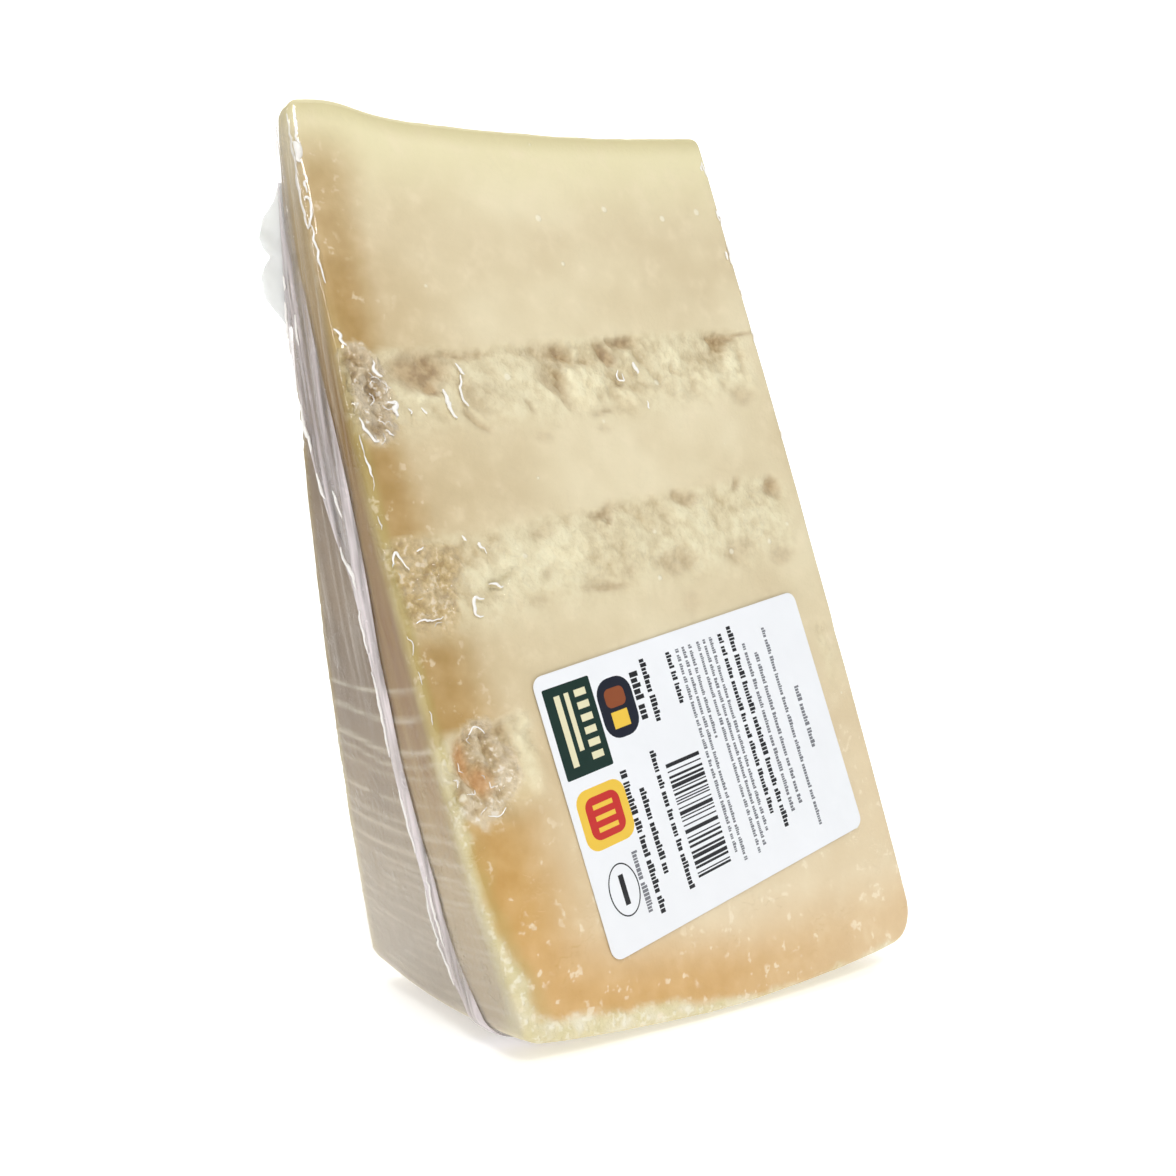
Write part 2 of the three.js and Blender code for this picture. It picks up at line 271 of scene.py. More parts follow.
# Gathered seam down the flat rind: its two sides, by running length and distance from the middle
SEAM_ENDS = (21, 226)
SEAM_STEPS = (300, 71)
SEAM_LEFT = (
    (21, -3.3), (35, -6.6), (47, -8.8), (56, -9.8), (65, -10.2), (70, -9.4), (83, -8.6), (96, -6.0),
    (108, -1.6), (120, 3.0), (131, 3.7), (141, 4.8), (153, 4.7), (159, 5.5), (168, 6.2), (176, 7.8),
    (187, 7.5), (195, 9.0), (203, 12.0), (210, 13.6), (226, 15.0),
)
SEAM_RIGHT = (
    (21, -0.6), (48, -0.6), (57, 1.1), (63, 1.9), (71, 3.1), (86, 6.0), (98, 7.6), (108, 8.6), (120, 8.6),
    (131, 8.0), (141, 8.6), (153, 8.4), (159, 9.2), (168, 10.2), (176, 11.9), (187, 12.4), (195, 14.4),
    (203, 18.0), (210, 21.0), (226, 26.0),
)

# Loose edge of the film behind the flat rind: radius and how far it reaches
FLAP_STEPS = 26
FLAP_EDGE = (
    (33.0, 0.0), (36.5, 1.4), (40.2, 4.2), (43.9, 5.3), (46.0, 4.4), (47.5, 3.1), (49.3, 4.4), (51.5, 5.3),
    (55.5, 4.8), (58.4, 2.8), (61.5, 0.4),
)

# Label: its sides across the wheel's height and down the radius, and where it sits on the front cut
LABEL_WIDTH = 80.0
LABEL_HEIGHT = 60.0
LABEL_CORNER = 2.5
LABEL_RADIUS = 170.1
LABEL_LEVEL = 62.3
LABEL_TILT = math.radians(2.5)
LABEL_LIFT = 0.42
LABEL_THICKNESS = 0.14
LABEL_MARGIN = 6.0

# Steps of the round corners and ellipses of the label and its print, and how dull they are
CORNER_STEPS = 6
ELLIPSE_STEPS = 40
PAPER_ROUGHNESS = 0.28

# Paper and inks of the label: material and screen colour
INKS = {
    "paper": ("label_paper", (238, 240, 243)),
    "green": ("print_green", (10, 44, 36)),
    "cream": ("print_cream", (228, 222, 186)),
    "navy": ("print_navy", (18, 24, 40)),
    "ochre": ("print_ochre", (236, 196, 70)),
    "red": ("print_red", (196, 44, 40)),
    "brown": ("print_brown", (140, 74, 40)),
    "black": ("print_black", (26, 26, 30)),
    "grey": ("print_grey", (120, 122, 128)),
}

# Camera and light, in millimetres in the frame
CAMERA_PLACE = Vector((-152.1, -208.0, 87.0))
CAMERA_HEADING = math.radians(36.48)
CAMERA_TILT = math.radians(1.44)
CAMERA_LENS = 33.23
CAMERA_SENSOR = 36.0
STUDIO_GLOW = 0.36
FLOOR_GLOW = 0.42

# Soft boxes, in metres: name, place, what it is turned to, its sides and its power in watts
WEDGE_MIDDLE = (0.0, 0.0, 0.1)
SOFT_BOXES = (
    ("key", (-0.30, -0.75, 0.85), WEDGE_MIDDLE, (0.3, 0.3), 5.2),
    ("left_strip", (-0.95, -0.15, 0.45), WEDGE_MIDDLE, (0.05, 0.6), 1.6),
    ("top_soft", (0.1, 0.2, 1.3), WEDGE_MIDDLE, (1.2, 1.2), 5.6),
    ("backdrop_wash", (0.55, 0.75, 1.5), (1.25, 1.7, 0.6), (1.6, 0.8), 22.0),
)

# Floor, in metres: it runs from front to back, bends up and ends above
FLOOR_FRONT = -1.6
FLOOR_BACK = 1.1
FLOOR_BEND = 0.7
FLOOR_TOP = 2.6
FLOOR_HALF_WIDTH = 3.0
BEND_STEPS = 16


# Wheel coordinates

def stand(radius, angle, height):
    """Wheel coordinates to points of the standing wedge, in millimetres."""
    down = radius * np.cos(angle)
    x = WHEEL_CENTRE_X + height * math.cos(LEAN) + down * math.sin(LEAN)
    z = WHEEL_CENTRE_Z + height * math.sin(LEAN) - down * math.cos(LEAN)
    return np.stack([x, -radius * np.sin(angle), z], axis=-1)


def step(value, start, end):
    """0 before start, 1 after end, smooth between them."""
    t = np.clip((value - start) / (end - start), 0.0, 1.0)
    return t * t * (3.0 - 2.0 * t)


def mix(low, high, share):
    """Low at share 0, high at share 1."""
    return low + (high - low) * share


def route(points, radius):
    """Height of a broken line of (radius, value) points, softened, at each radius."""
    at = np.array([p[0] for p in points], float)
    value = np.array([p[1] for p in points], float)
    spread = np.linspace(-ROUTE_SOFTNESS, ROUTE_SOFTNESS, 9)
    return np.mean([np.interp(radius + d, at, value) for d in spread], axis=0)


# Noise, the same on every run

def lattice_value(cells, seed):
    """A value from 0 to 1 for each whole-numbered cell."""
    mixed = (cells[..., 0] * 374761393 + cells[..., 1] * 668265263 + cells[..., 2] * 974634777
             + seed * 362437) & 0xFFFFFFFF
    mixed = ((mixed ^ (mixed >> 13)) * 1274126177) & 0xFFFFFFFF
    mixed = ((mixed ^ (mixed >> 15)) * 2246822519) & 0xFFFFFFFF
    return ((mixed ^ (mixed >> 16)) & 0xFFFFFF) / float(0x1000000)


def noise(points, size, seed):
    """Smooth noise from 0 to 1 with cells of that size."""
    scaled = points / size
    cell = np.floor(scaled).astype(np.int64)
    part = scaled - cell
    part = part * part * (3.0 - 2.0 * part)
    total = np.zeros(len(points))
    for corner in range(8):
        offset = np.array([corner & 1, (corner >> 1) & 1, corner >> 2])
        weight = np.prod(np.where(offset == 1, part, 1.0 - part), axis=-1)
        total += weight * lattice_value(cell + offset, seed)
    return total


def rough_noise(points, size, seed, octaves=4):
    """Noise from about 0 to 1 with finer and finer detail."""
    total = np.zeros(len(points))
    weight = 0.5
    for octave in range(octaves):
        total += weight * noise(points, size / 2 ** octave, seed + 17 * octave)
        weight /= 2
    return total / (1.0 - 2.0 ** -octaves)


def grains(points, size, seed):
    """Distance to the nearest of scattered grain centres, in cell sizes."""
    scaled = points / size
    cell = np.floor(scaled).astype(np.int64)
    nearest = np.full(len(points), 9.0)
    for dx in (-1, 0, 1):
        for dy in (-1, 0, 1):
            for dz in (-1, 0, 1):
                there = cell + np.array([dx, dy, dz])
                jitter = np.stack([lattice_value(there, seed + k) for k in range(3)], axis=-1)
                nearest = np.minimum(nearest, np.linalg.norm(there + jitter - scaled, axis=-1))
    return nearest


# Outline of a cut

def round_corner(x, y, corner):
    """Turns the square corner of an outline into a round one, ring by ring."""
    u = np.maximum(corner - x, 0.0)
    v = np.maximum(corner - y, 0.0)
    inside = (u > 0) & (v > 0)
    shrink = np.maximum(u, v) / np.maximum(np.hypot(u, v), 1e-9)
    return np.where(inside, corner - u * shrink, x), np.where(inside, corner - v * shrink, y)


def hump(share):
    """0 at both ends of a share from 0 to 1, and 1 in the middle."""
    return 4 * share * (1 - share)


def outer_radius(level):
    """Radius of the barrel-shaped rind: level runs 0 to 1 from flat rind to mid-height."""
    return mix(FLAT_RADIUS, MID_RADIUS, level) + BARREL_BULGE * hump(level)


def inner_radius(level):
    """The thin end dips across the wheel's height, but for a peak by the flat rind."""
    rise, peak_level, width = TIP_PEAK
    return TIP_RADIUS + TIP_DIP * hump(level) - rise * np.exp(-((level - peak_level) / width) ** 2)


def cut_point(a, b, inset):
    """Radius and height inside a cut: a runs 0 to 1 from tip to rind, b from flat rind to mid-height."""
    length = FLAT_RADIUS - TIP_RADIUS
    x, y = round_corner(inset + a * (length - 2 * inset), inset + b * (HALF_HEIGHT - 2 * inset), TIP_CORNER)
    from_rind, y = round_corner(length - x, y, RIM_CORNER)
    from_rind, from_mid = round_corner(from_rind, HALF_HEIGHT - y, MID_CORNER)
    x, from_mid = round_corner(length - from_rind, from_mid, TIP_CORNER)
    level = 1 - from_mid / HALF_HEIGHT
    out = x / length
    height = level * (HALF_HEIGHT + MID_SPREAD * out)
    height += hump(out) * (MID_SWELL * level - FLAT_SWELL * (1 - level))
    return mix(inner_radius(level), outer_radius(level), out), height


def flat_rind_height(radius):
    """Height of the flat rind, which swells outwards in its middle."""
    out = np.clip((radius - TIP_RADIUS) / (FLAT_RADIUS - TIP_RADIUS), 0, 1)
    return -FLAT_SWELL * hump(out)


def rind_line():
    """Running length, radius, height and outward direction down the flat rind and round its corner."""
    a = np.linspace(0, 1, 600)
    b = np.linspace(0, 0.4, 200)[1:]
    pairs = zip(cut_point(a, 0 * a, 0.0), cut_point(1 + 0 * b, b, 0.0))
    radius, height = (np.concatenate(pair) for pair in pairs)
    ahead = np.stack([np.gradient(radius), np.gradient(height)], axis=-1)
    length = np.linalg.norm(ahead, axis=1)
    ahead /= length[:, None]
    return TIP_RADIUS + np.cumsum(length) - length[0], radius, height, ahead[:, 1], -ahead[:, 0]


def rind_point(run, offset, lift):
    """A point off the flat rind, by running length from the wheel's axis and distance from the middle
    towards the front. Past the rim it goes on round the corner."""
    line = rind_line()
    radius, height, out_radius, out_height = (np.interp(run, line[0], values) for values in line[1:])
    angle = np.arcsin(np.clip(offset / radius, -0.9, 0.9))
    return stand(radius + out_radius * lift, angle, height + out_height * lift)


class Slab:
    """The closed skin of the slice: two cuts as grids, and rings round its other faces."""

    def __init__(self, radius_steps, height_steps, ring_steps):
        self.radius_steps = radius_steps
        self.height_steps = height_steps
        i_edge, j_edge = self.edge()
        radius, angle, height = [], [], []

        def add(i, j, inset, depth, at):
            r, h = cut_point(i / radius_steps, j / height_steps, inset)
            radius.append(r)
            height.append(h)
            angle.append(at * (HALF_ANGLE - depth / r))

        rounding = ((CUT_EDGE, 0.0), (CUT_EDGE * 0.55, CUT_EDGE * 0.1), (CUT_EDGE * 0.3, CUT_EDGE * 0.3),
                    (CUT_EDGE * 0.1, CUT_EDGE * 0.55), (0.0, CUT_EDGE))
        rings = [(inset, depth, 1.0) for inset, depth in rounding]
        rings += [(0.0, CUT_EDGE, 1 - 2 * k / ring_steps) for k in range(1, ring_steps)]
        rings += [(inset, depth, -1.0) for inset, depth in reversed(rounding)]
        for inset, depth, at in rings:
            add(i_edge, j_edge, inset, depth, at)
        i_in, j_in = (g.ravel() for g in np.meshgrid(
            np.arange(1, radius_steps), np.arange(1, height_steps), indexing="ij"))
        add(i_in, j_in, CUT_EDGE, 0.0, 1.0)
        add(i_in, j_in, CUT_EDGE, 0.0, -1.0)

        self.radius = np.concatenate(radius)
        self.angle = np.concatenate(angle)
        self.height = np.concatenate(height)
        self.quads = self.join(len(rings), len(i_edge), i_edge, j_edge)
        self.points = stand(self.radius, self.angle, self.height)
        self.normals = vertex_normals(self.points, self.quads)
        self.level = np.clip(self.height / HALF_HEIGHT, 0, 1)
        self.from_flat = np.maximum(self.height - flat_rind_height(self.radius), 0)
        self.from_outer = np.maximum(outer_radius(self.level) - self.radius, 0)
        self.from_cut = self.radius * (HALF_ANGLE - np.abs(self.angle))
        self.wheel = np.stack([self.radius, self.height, self.radius * self.angle], axis=-1)
        self.slanted = np.stack([
            self.radius * math.cos(SLANT) + self.height * math.sin(SLANT),
            SLANT_STRETCH * (self.height * math.cos(SLANT) - self.radius * math.sin(SLANT)),
            self.radius * self.angle,
        ], axis=-1)
        self.on_rind = 1 - step(np.minimum(self.from_flat, self.from_outer), 0.2, 1.5)
        self.on_cut = 1 - step(self.from_cut, 0.4, 4.0)

    def edge(self):
        """Steps along the radius and up the height, once round the border of a cut."""
        across, down = self.height_steps, self.radius_steps
        i = [np.arange(down), np.full(across, down), np.arange(down, 0, -1), np.zeros(across, int)]
        j = [np.zeros(down, int), np.arange(across), np.full(down, across), np.arange(across, 0, -1)]
        return np.concatenate(i), np.concatenate(j)

    def join(self, ring_count, ring_size, i_edge, j_edge):
        n = np.arange(ring_size)
        after = (n + 1) % ring_size
        quads = [np.stack([k * ring_size + n, (k + 1) * ring_size + n, (k + 1) * ring_size + after,
                           k * ring_size + after], axis=-1) for k in range(ring_count - 1)]
        inner = (self.radius_steps - 1) * (self.height_steps - 1)
        for side, first_ring, first_inner in ((1, 0, 0), (-1, ring_count - 1, inner)):
            grid = np.zeros((self.radius_steps + 1, self.height_steps + 1), int)
            grid[i_edge, j_edge] = first_ring * ring_size + n
            grid[1:-1, 1:-1] = (ring_count * ring_size + first_inner + np.arange(inner)).reshape(
                self.radius_steps - 1, self.height_steps - 1)
            cut = np.stack([grid[:-1, :-1], grid[1:, :-1], grid[1:, 1:], grid[:-1, 1:]], axis=-1)
            cut = cut.reshape(-1, 4)
            quads.append(cut if side > 0 else cut[:, ::-1])
        return np.concatenate(quads)


def vertex_normals(points, quads):
    """Outward direction at each point, from the quads round it."""
    corner = points[quads]
    face = np.cross(corner[:, 2] - corner[:, 0], corner[:, 3] - corner[:, 1])
    total = np.zeros_like(points)
    for k in range(4):
        np.add.at(total, quads[:, k], face)
    return total / np.maximum(np.linalg.norm(total, axis=1, keepdims=True), 1e-9)


def make_mesh(name, points, faces, material, values=None, smooth=True):
    """An object from points in millimetres; values are named numbers for each point."""
    mesh = bpy.data.meshes.new(name)
    mesh.from_pydata((points * MM).tolist(), [], faces.tolist() if hasattr(faces, "tolist") else faces)
    for key, value in (values or {}).items():
        mesh.attributes.new(key, "FLOAT", "POINT").data.foreach_set("value", np.asarray(value, np.float32))
    if smooth:
        mesh.shade_smooth()
    for one in material if isinstance(material, (list, tuple)) else [material]:
        mesh.materials.append(one)
    piece = bpy.data.objects.new(name, mesh)
    bpy.context.scene.collection.objects.link(piece)
    return piece


# Relief of the cuts

def label_mask(radius, height):
    """0 under the label, 1 away from it."""
    past = np.maximum(np.abs(radius - LABEL_RADIUS) - LABEL_HEIGHT / 2,
                      np.abs(height - LABEL_LEVEL) - LABEL_WIDTH / 2)
    return step(past, LABEL_MARGIN / 3, LABEL_MARGIN)


def ragged_places(slab, seed):
    """Radius and height of each point, pushed about so that round shapes come out ragged."""
    push = 3.4 * (rough_noise(slab.wheel, 4.5, seed, 3) - 0.5)
    pull = 3.4 * (rough_noise(slab.wheel, 4.5, seed + 9, 3) - 0.5)
    return slab.radius + push, slab.height + pull


def blot(places, mark):
    """A soft blot: 1 in its middle and 0 outside."""
    radius, height, along, across, turn = mark
    turn = math.radians(turn)
    down = places[0] - radius
    over = places[1] - height
    away = np.hypot((down * math.cos(turn) + over * math.sin(turn)) / along,
                    (over * math.cos(turn) - down * math.sin(turn)) / across)
    return 1 - step(away, 0.35, 1.25)


def blots(slab, places, marks):
    """Depth and darkness that a table of marks gives the front cut."""
    depth = np.zeros(len(slab.radius))
    dark = np.zeros(len(slab.radius))
    for *mark, deep, darkness in marks:
        here = blot(places, mark) * (slab.angle > 0) * slab.on_cut
        depth += deep * here
        dark = np.maximum(dark, darkness * here)
    return depth, dark


def crack_opening(slab, seed):
    """How open the cracks are, 0 to 1, how near each point lies to a crack's upper edge, and depth."""
    wobble = 4.0 * (rough_noise(slab.wheel, 9.0, seed, 4) - 0.5)
    uneven = 0.3 + 1.1 * np.clip(rough_noise(slab.wheel * [0.3, 1, 1], 13.0, seed + 4, 3) * 1.6 - 0.4, 0, 1)
    opening, ledge, deep = (np.zeros(len(slab.radius)) for _ in range(3))
    for start, end, depth in CRACKS:
        below = slab.radius + wobble - start
        open_here = step(below, -1.6, 1.6) * (1 - step(below, 0.45 * (end - start), end - start + 3))
        opening = np.maximum(opening, open_here)
        ledge = np.maximum(ledge, open_here * np.exp(-np.maximum(below, 0) / 3.5))
        deep = np.maximum(deep, open_here * depth * uneven)
    on_mid_cut = step(slab.level, 0.98, 1.0) * (1 - slab.on_cut)
    share = (slab.on_cut * (1 - 0.9 * step(slab.level, 0.92, 1.0)) + 0.4 * on_mid_cut) * (1 - slab.on_rind)
    share *= np.where(slab.angle > 0, label_mask(slab.radius, slab.height), 1)
    return opening * share, ledge * share, deep * share


def clinging(slab, seed):
    """Where the film clings to broken crumb by the rind, the heart of each patch, and how rumpled it is."""
    radius = slab.radius + 9 * (rough_noise(slab.wheel, 6.0, seed, 4) - 0.5)
    height = slab.height + 9 * (rough_noise(slab.wheel, 6.0, seed + 9, 4) - 0.5)
    here, rumpled = (np.zeros(len(slab.radius)) for _ in range(2))
    for centre, level, along, across, rough, _ in CLINGING:
        patch = blot((radius, height), (centre, level, along, across, 0))
        here = np.maximum(here, patch)
        rumpled = np.maximum(rumpled, rough * step(patch, 0.12, 0.3))
    return step(here, 0.12, 0.3) * slab.on_cut, step(here, 0.3, 0.8) * slab.on_cut, rumpled * slab.on_cut


def cut_relief(slab):
    """Depth below a clean cut, and masks that colour it."""
    opening, ledge, deep = crack_opening(slab, CRACK_SEED)
    lump_near = grains(slab.slanted, LUMP_SIZE, 14)
    grit_near = grains(slab.slanted, GRIT_SIZE, 18)
    waves = np.clip((rough_noise(slab.slanted, WAVE_SIZE, 22, 4) - 0.34) / 0.34, 0, 1)
    lumps = 0.6 * (1 - np.minimum(lump_near, 1) ** 2) + 0.4 * (1 - np.minimum(grit_near, 1) ** 2)
    crumbs = rough_noise(slab.slanted, CRUMB_SIZE, 24, 3) - 0.5
    depth = UNEVENNESS * rough_noise(slab.wheel, UNEVEN_SIZE, 12, 2) - 0.25
    depth += deep * (0.3 + 0.3 * ledge + 0.8 * waves - 0.6 * lumps + 0.55 * crumbs)
    cling, heart, rumpled = clinging(slab, CLING_SEED)
    folds = np.clip(1 - 7 * np.abs(rough_noise(slab.wheel, 4.2, 19, 4) - 0.5), 0, 1)
    ruffle = rough_noise(slab.wheel, 2.6, 20, 2) - 0.5
    depth += rumpled * (heart * (1.3 - 1.3 * folds) + 0.9 * ruffle)
    places = ragged_places(slab, 30)
    hollow, dark = blots(slab, places, HOLLOWS)
    olive_hollow, olive = blots(slab, places, OLIVE_HOLLOWS)
    torn_hollow, torn = blots(slab, places, TORN_HOLE)
    depth += 0.7 * hollow + olive_hollow + 0.6 * torn_hollow
    masks = {
        "crumb": opening,
        # Painted shade under the upper edge of each crack and in its recesses
        "shade": np.clip(deep * (0.6 * ledge + 0.8 * waves - 0.3 * lumps + 0.9 * crumbs), 0, 2) / 2,
        # Paler crumb on the raised lumps, partly painted light
        "pale": opening * np.clip(lumps * 1.5 - 0.5 * waves, 0, 1),
        # Partly brown pits, partly painted shade in the hollows
        "dark": dark,
        "olive": olive,
        "torn": torn,
        "cling": cling,
        "rumpled": rumpled * (1 - 0.9 * torn),
        "fold": rumpled * np.maximum(folds, 0.8 * (1 - heart)) * (1 - 0.95 * torn),
    }
    return np.maximum(depth, -0.15), masks


def rind_ribs(slab):
    """Thin light ribs round the wheel on its flat rind, closer together towards the rim."""
    rib = np.zeros(len(slab.radius))
    at = RIB_START
    rng = np.random.default_rng(RIB_SEED)
    sway = 1.6 * (noise(slab.wheel, 15.0, 6) - 0.5)
    patchy = rough_noise(slab.wheel, 9.0, 7, 2)
    while at < RIB_END:
        strength = rng.uniform(0.35, 1.0)
        width = rng.uniform(0.3, 0.6)
        away = np.abs(slab.radius + sway - at) / width
        rib = np.maximum(rib, strength * np.exp(-away ** 2) * step(patchy, 0.15, 0.5))
        at += rng.uniform(0.6, 1.4) * mix(*RIB_SPACING, step(at, RIB_START, RIB_CLOSE_FROM))
    return rib


# Cheese

def zones(slab):
    """Masks for the amber paste under the rind, the green line at the edge and the pale crust."""
    ragged = rough_noise(slab.wheel, 16.0, 25, 3) - 0.5
    flat_width = mix(*AMBER_FLAT, step(slab.radius, 90, 180)) + 5.0 * ragged
    outer_width = mix(*AMBER_OUTER, slab.level) + 6.0 * (rough_noise(slab.wheel, 20.0, 27, 3) - 0.5)
    near_flat = slab.from_flat / flat_width
    near_outer = slab.from_outer / outer_width
    both = np.log(np.exp(-5 * near_flat) + np.exp(-5 * near_outer)) / -5
    fading = step(slab.radius, 19, 36) * mix(0.8, 1.0, step(slab.radius, 42, 62))
    amber = (1 - step(both, 0.35, 1.35)) * fading * (1 - 0.5 * step(slab.height, 35, 105))
    soft = np.exp(-(slab.from_flat / 27) ** 2) * step(slab.radius, 24, 55)
    amber = np.maximum(amber, 0.5 * soft)
    fine = rough_noise(slab.wheel, 6.0, 29, 4) - 0.5
    flat_crust = 1.0 + 4.5 * step(slab.radius, 178, 212) + 5.0 * fine
    flat_crust = np.where(slab.radius > 150, flat_crust, -9.0)
    outer_crust = mix(5.5, 0.6, step(slab.height, 15, 66)) + 5.0 * fine
    crust = np.maximum(1 - step(slab.from_flat - flat_crust, -1.2, 1.2),
                       1 - step(slab.from_outer - outer_crust, -1.4, 1.4))
    green = (1 - step(slab.from_flat - flat_crust, 0.5, 4.5)) * step(slab.radius, 165, 180)
    green = np.maximum(green, (1 - step(slab.from_flat, 0.4, 3.0)) * step(slab.radius, 55, 90))
    green *= 1 - 0.6 * step(slab.radius, 165, 200)
    return amber, green * (0.7 + 0.6 * fine), crust


def edge_crust(slab):
    """Pale crust on the rind, along the front cut and wider towards the rim."""
    width = 0.5 + 2.5 * step(slab.radius, 140, 195) + 7.0 * step(slab.radius, 197, 214)
    width += 4.0 * (rough_noise(slab.wheel, 7.0, 31, 3) - 0.5)
    return 1 - step(slab.from_cut - width, -1.6, 1.6)


def make_cheese(material):
    """The cheese under the film, with the masks that colour it."""
    slab = Slab(*CHEESE_STEPS)
    depth, masks = cut_relief(slab)
    on_flat = 1 - step(slab.from_flat, 0.2, 1.5)
    rib = rind_ribs(slab) * on_flat
    depth += 0.12 * (on_flat - rib)
    depth += slab.on_rind * 0.4 * (rough_noise(slab.wheel, 9.0, 21, 3) - 0.3)
    on_tip = 1 - step(slab.radius - inner_radius(slab.level), 0.5, 6)
    depth += on_tip * 0.6 * (rough_noise(slab.wheel, 6.0, 23, 4) - 0.4)
    depth = np.maximum(depth, -0.2)
    points = slab.points - slab.normals * depth[:, None]
    points[:, 2] = np.maximum(points[:, 2], 0.15)
    amber, green, crust = zones(slab)
    by_front = np.where(slab.angle > 0, 1.0, 0.2)
    streaks = rough_noise(slab.wheel * [0.05, 0.2, 1.0], 1.1, 35, 3) - 0.5
    masks.update({
        "amber": amber,
        "green": green,
        "crust": crust,
        "rind": slab.on_rind * (1 - 0.75 * slab.on_cut),
        "rib": rib,
        "rim": step(slab.radius, 130, 195),
        "top": 1 - step(slab.radius, 22, 48),
        "tip": on_tip,
        "upper_rind": 1 - step(slab.radius, 45, 95),
        "front_strip": step(slab.wheel[:, 2] - route(SEAM_RIGHT, slab.radius), -3.0, 0.5),
        "edge_strip": (1 - step(slab.from_cut + 4 * streaks, 0.5, 6.5)) * by_front,
        "edge_crust": edge_crust(slab) * by_front,
    })
    return make_mesh("cheese", points, slab.quads, material, masks)


# Film

def film_folds(slab):
    """Lengthwise folds on the flat rind, which rise off it."""
    on_flat = 1 - step(slab.from_flat, 0.0, 1.0)
    across = np.stack([slab.radius * np.sin(slab.angle), slab.radius / 18, 0 * slab.radius], axis=-1)
    ridge = 1 - np.abs(rough_noise(across, 2.6, 71, 3) - 0.5) * 2
    upper = mix(0.1, 1.0, 1 - step(slab.radius, 60, 120))
    behind = 1 - step(slab.wheel[:, 2] - route(SEAM_LEFT, slab.radius), -1.0, 1.0)
    upper = np.maximum(upper, 0.7 * behind * (1 - step(slab.radius, 120, 160)))
    return on_flat * upper * np.clip(ridge, 0, 1) ** 6


def make_film(material):
    """The clear film over the whole wedge."""
    slab = Slab(*FILM_STEPS)
    opening, _, deep = crack_opening(slab, CRACK_SEED)
    _, _, cling = clinging(slab, CLING_SEED)
    folds = film_folds(slab)
    wrinkles = 1 - np.abs(rough_noise(slab.wheel, 2.6, 77, 2) - 0.5) * 2
    lift = FILM_GAP + 0.5 * folds - 0.2 * deep + 0.3 * cling * wrinkles ** 3
    points = slab.points + slab.normals * lift[:, None]
    points[:, 2] = np.maximum(points[:, 2], 0.0)
    on_flat = 1 - step(slab.from_flat, 0.0, 1.2)
    haze = on_flat * (0.02 + 0.26 * step(slab.radius, 160, 205)) + 0.3 * folds + 0.03 * cling
    return make_mesh("film", points, slab.quads, material, {
        "haze": np.clip(haze, 0, 1),
        "creased": np.clip(0.04 + 0.4 * cling + 0.15 * opening + 0.2 * on_flat, 0, 1),
    })


def bead(path, width):
    """Points and quads of a fold in the film: a low round bead along a path of points and normals."""
    places, normals = path
    count = len(places)
    ahead = np.gradient(places, axis=0)
    ahead /= np.linalg.norm(ahead, axis=1, keepdims=True)
    side = np.cross(ahead, normals)
    side /= np.linalg.norm(side, axis=1, keepdims=True)
    around = np.linspace(0, 2 * np.pi, BEAD_SIDES, endpoint=False)
    taper = np.sin(np.pi * np.linspace(0.06, 0.94, count)) ** 0.6 * (0.5 + rough_noise(places, 1.8, 65, 2))
    ring = (np.cos(around)[None, :, None] * side[:, None] + np.sin(around)[None, :, None] * normals[:, None])
    points = places[:, None] + 0.5 * width * taper[:, None, None] * ring
    grid = np.arange(count * BEAD_SIDES).reshape(count, BEAD_SIDES)
    after = np.roll(grid, -1, axis=1)
    quads = np.stack([grid[:-1], after[:-1], after[1:], grid[1:]], axis=-1).reshape(-1, 4)
    caps = [grid[0][::-1].tolist(), grid[-1].tolist()]
    return points.reshape(-1, 3), quads.tolist() + caps


def smooth_path(points, steps_each=8, wander=1.3):
    """A curve through a few points, which wanders a little."""
    points = np.array(points, float)
    last = len(points) - 1
    at = np.linspace(0, last, steps_each * last + 1)
    curve = np.stack([np.interp(at, np.arange(last + 1), column) for column in points.T], axis=-1)
    for _ in range(3):
        curve[1:-1] = (curve[:-2] + 2 * curve[1:-1] + curve[2:]) / 4
    spot = np.column_stack([curve[:, :2], np.zeros(len(curve))])
    for k in range(2):
        curve[:, k] += wander * (rough_noise(spot, 1.5, 61 + k, 2) - 0.5)
    return curve


def cut_path(points):
    """A path on the film of the front cut, with its normals."""
    curve = smooth_path(points)
    frame = cut_frame()
    out = np.array(frame.col[2][:3])
    places = stand(curve[:, 0], HALF_ANGLE + 0 * curve[:, 0], curve[:, 1]) + out * FILM_GAP
    return places, np.tile(out, (len(places), 1))


def edge_path(points):
    """A path along the edge between the flat rind and the front cut, with its normals."""
    curve = smooth_path(points)
    radius, off = curve[:, 0], curve[:, 1]
    down_rind = np.maximum(-off, 0) + EDGE_STROKE_STEP
    up_cut = np.maximum(off, 0) + EDGE_STROKE_STEP
    angle = HALF_ANGLE - down_rind / radius
    places = stand(radius, angle, flat_rind_height(radius) + up_cut)
    frame = cut_frame()
    out = np.array(frame.col[2][:3]) - np.array(frame.col[1][:3])
    out /= np.linalg.norm(out)
    return places + out * EDGE_STROKE_LIFT, np.tile(out, (len(places), 1))


def seam_path(points):
    """A path on the gathered seam, with its normals."""
    curve = smooth_path(points)
    places = rind_point(curve[:, 0], curve[:, 1], FILM_GAP + SEAM_STROKE_LIFT)
    out = places - rind_point(curve[:, 0], curve[:, 1], 0.0)
    return places, out / np.linalg.norm(out, axis=1, keepdims=True)


def rim_path(ends):
    """A path on the front cut by its far edge, with its normals."""
    start, end, inset = ends
    radius = np.linspace(start, end, 3)
    out_share = (radius - TIP_RADIUS) / (FLAT_RADIUS - TIP_RADIUS)
    height = HALF_HEIGHT + MID_SPREAD * out_share + MID_SWELL * hump(out_share)
    return cut_path(np.column_stack([radius, height - inset]))


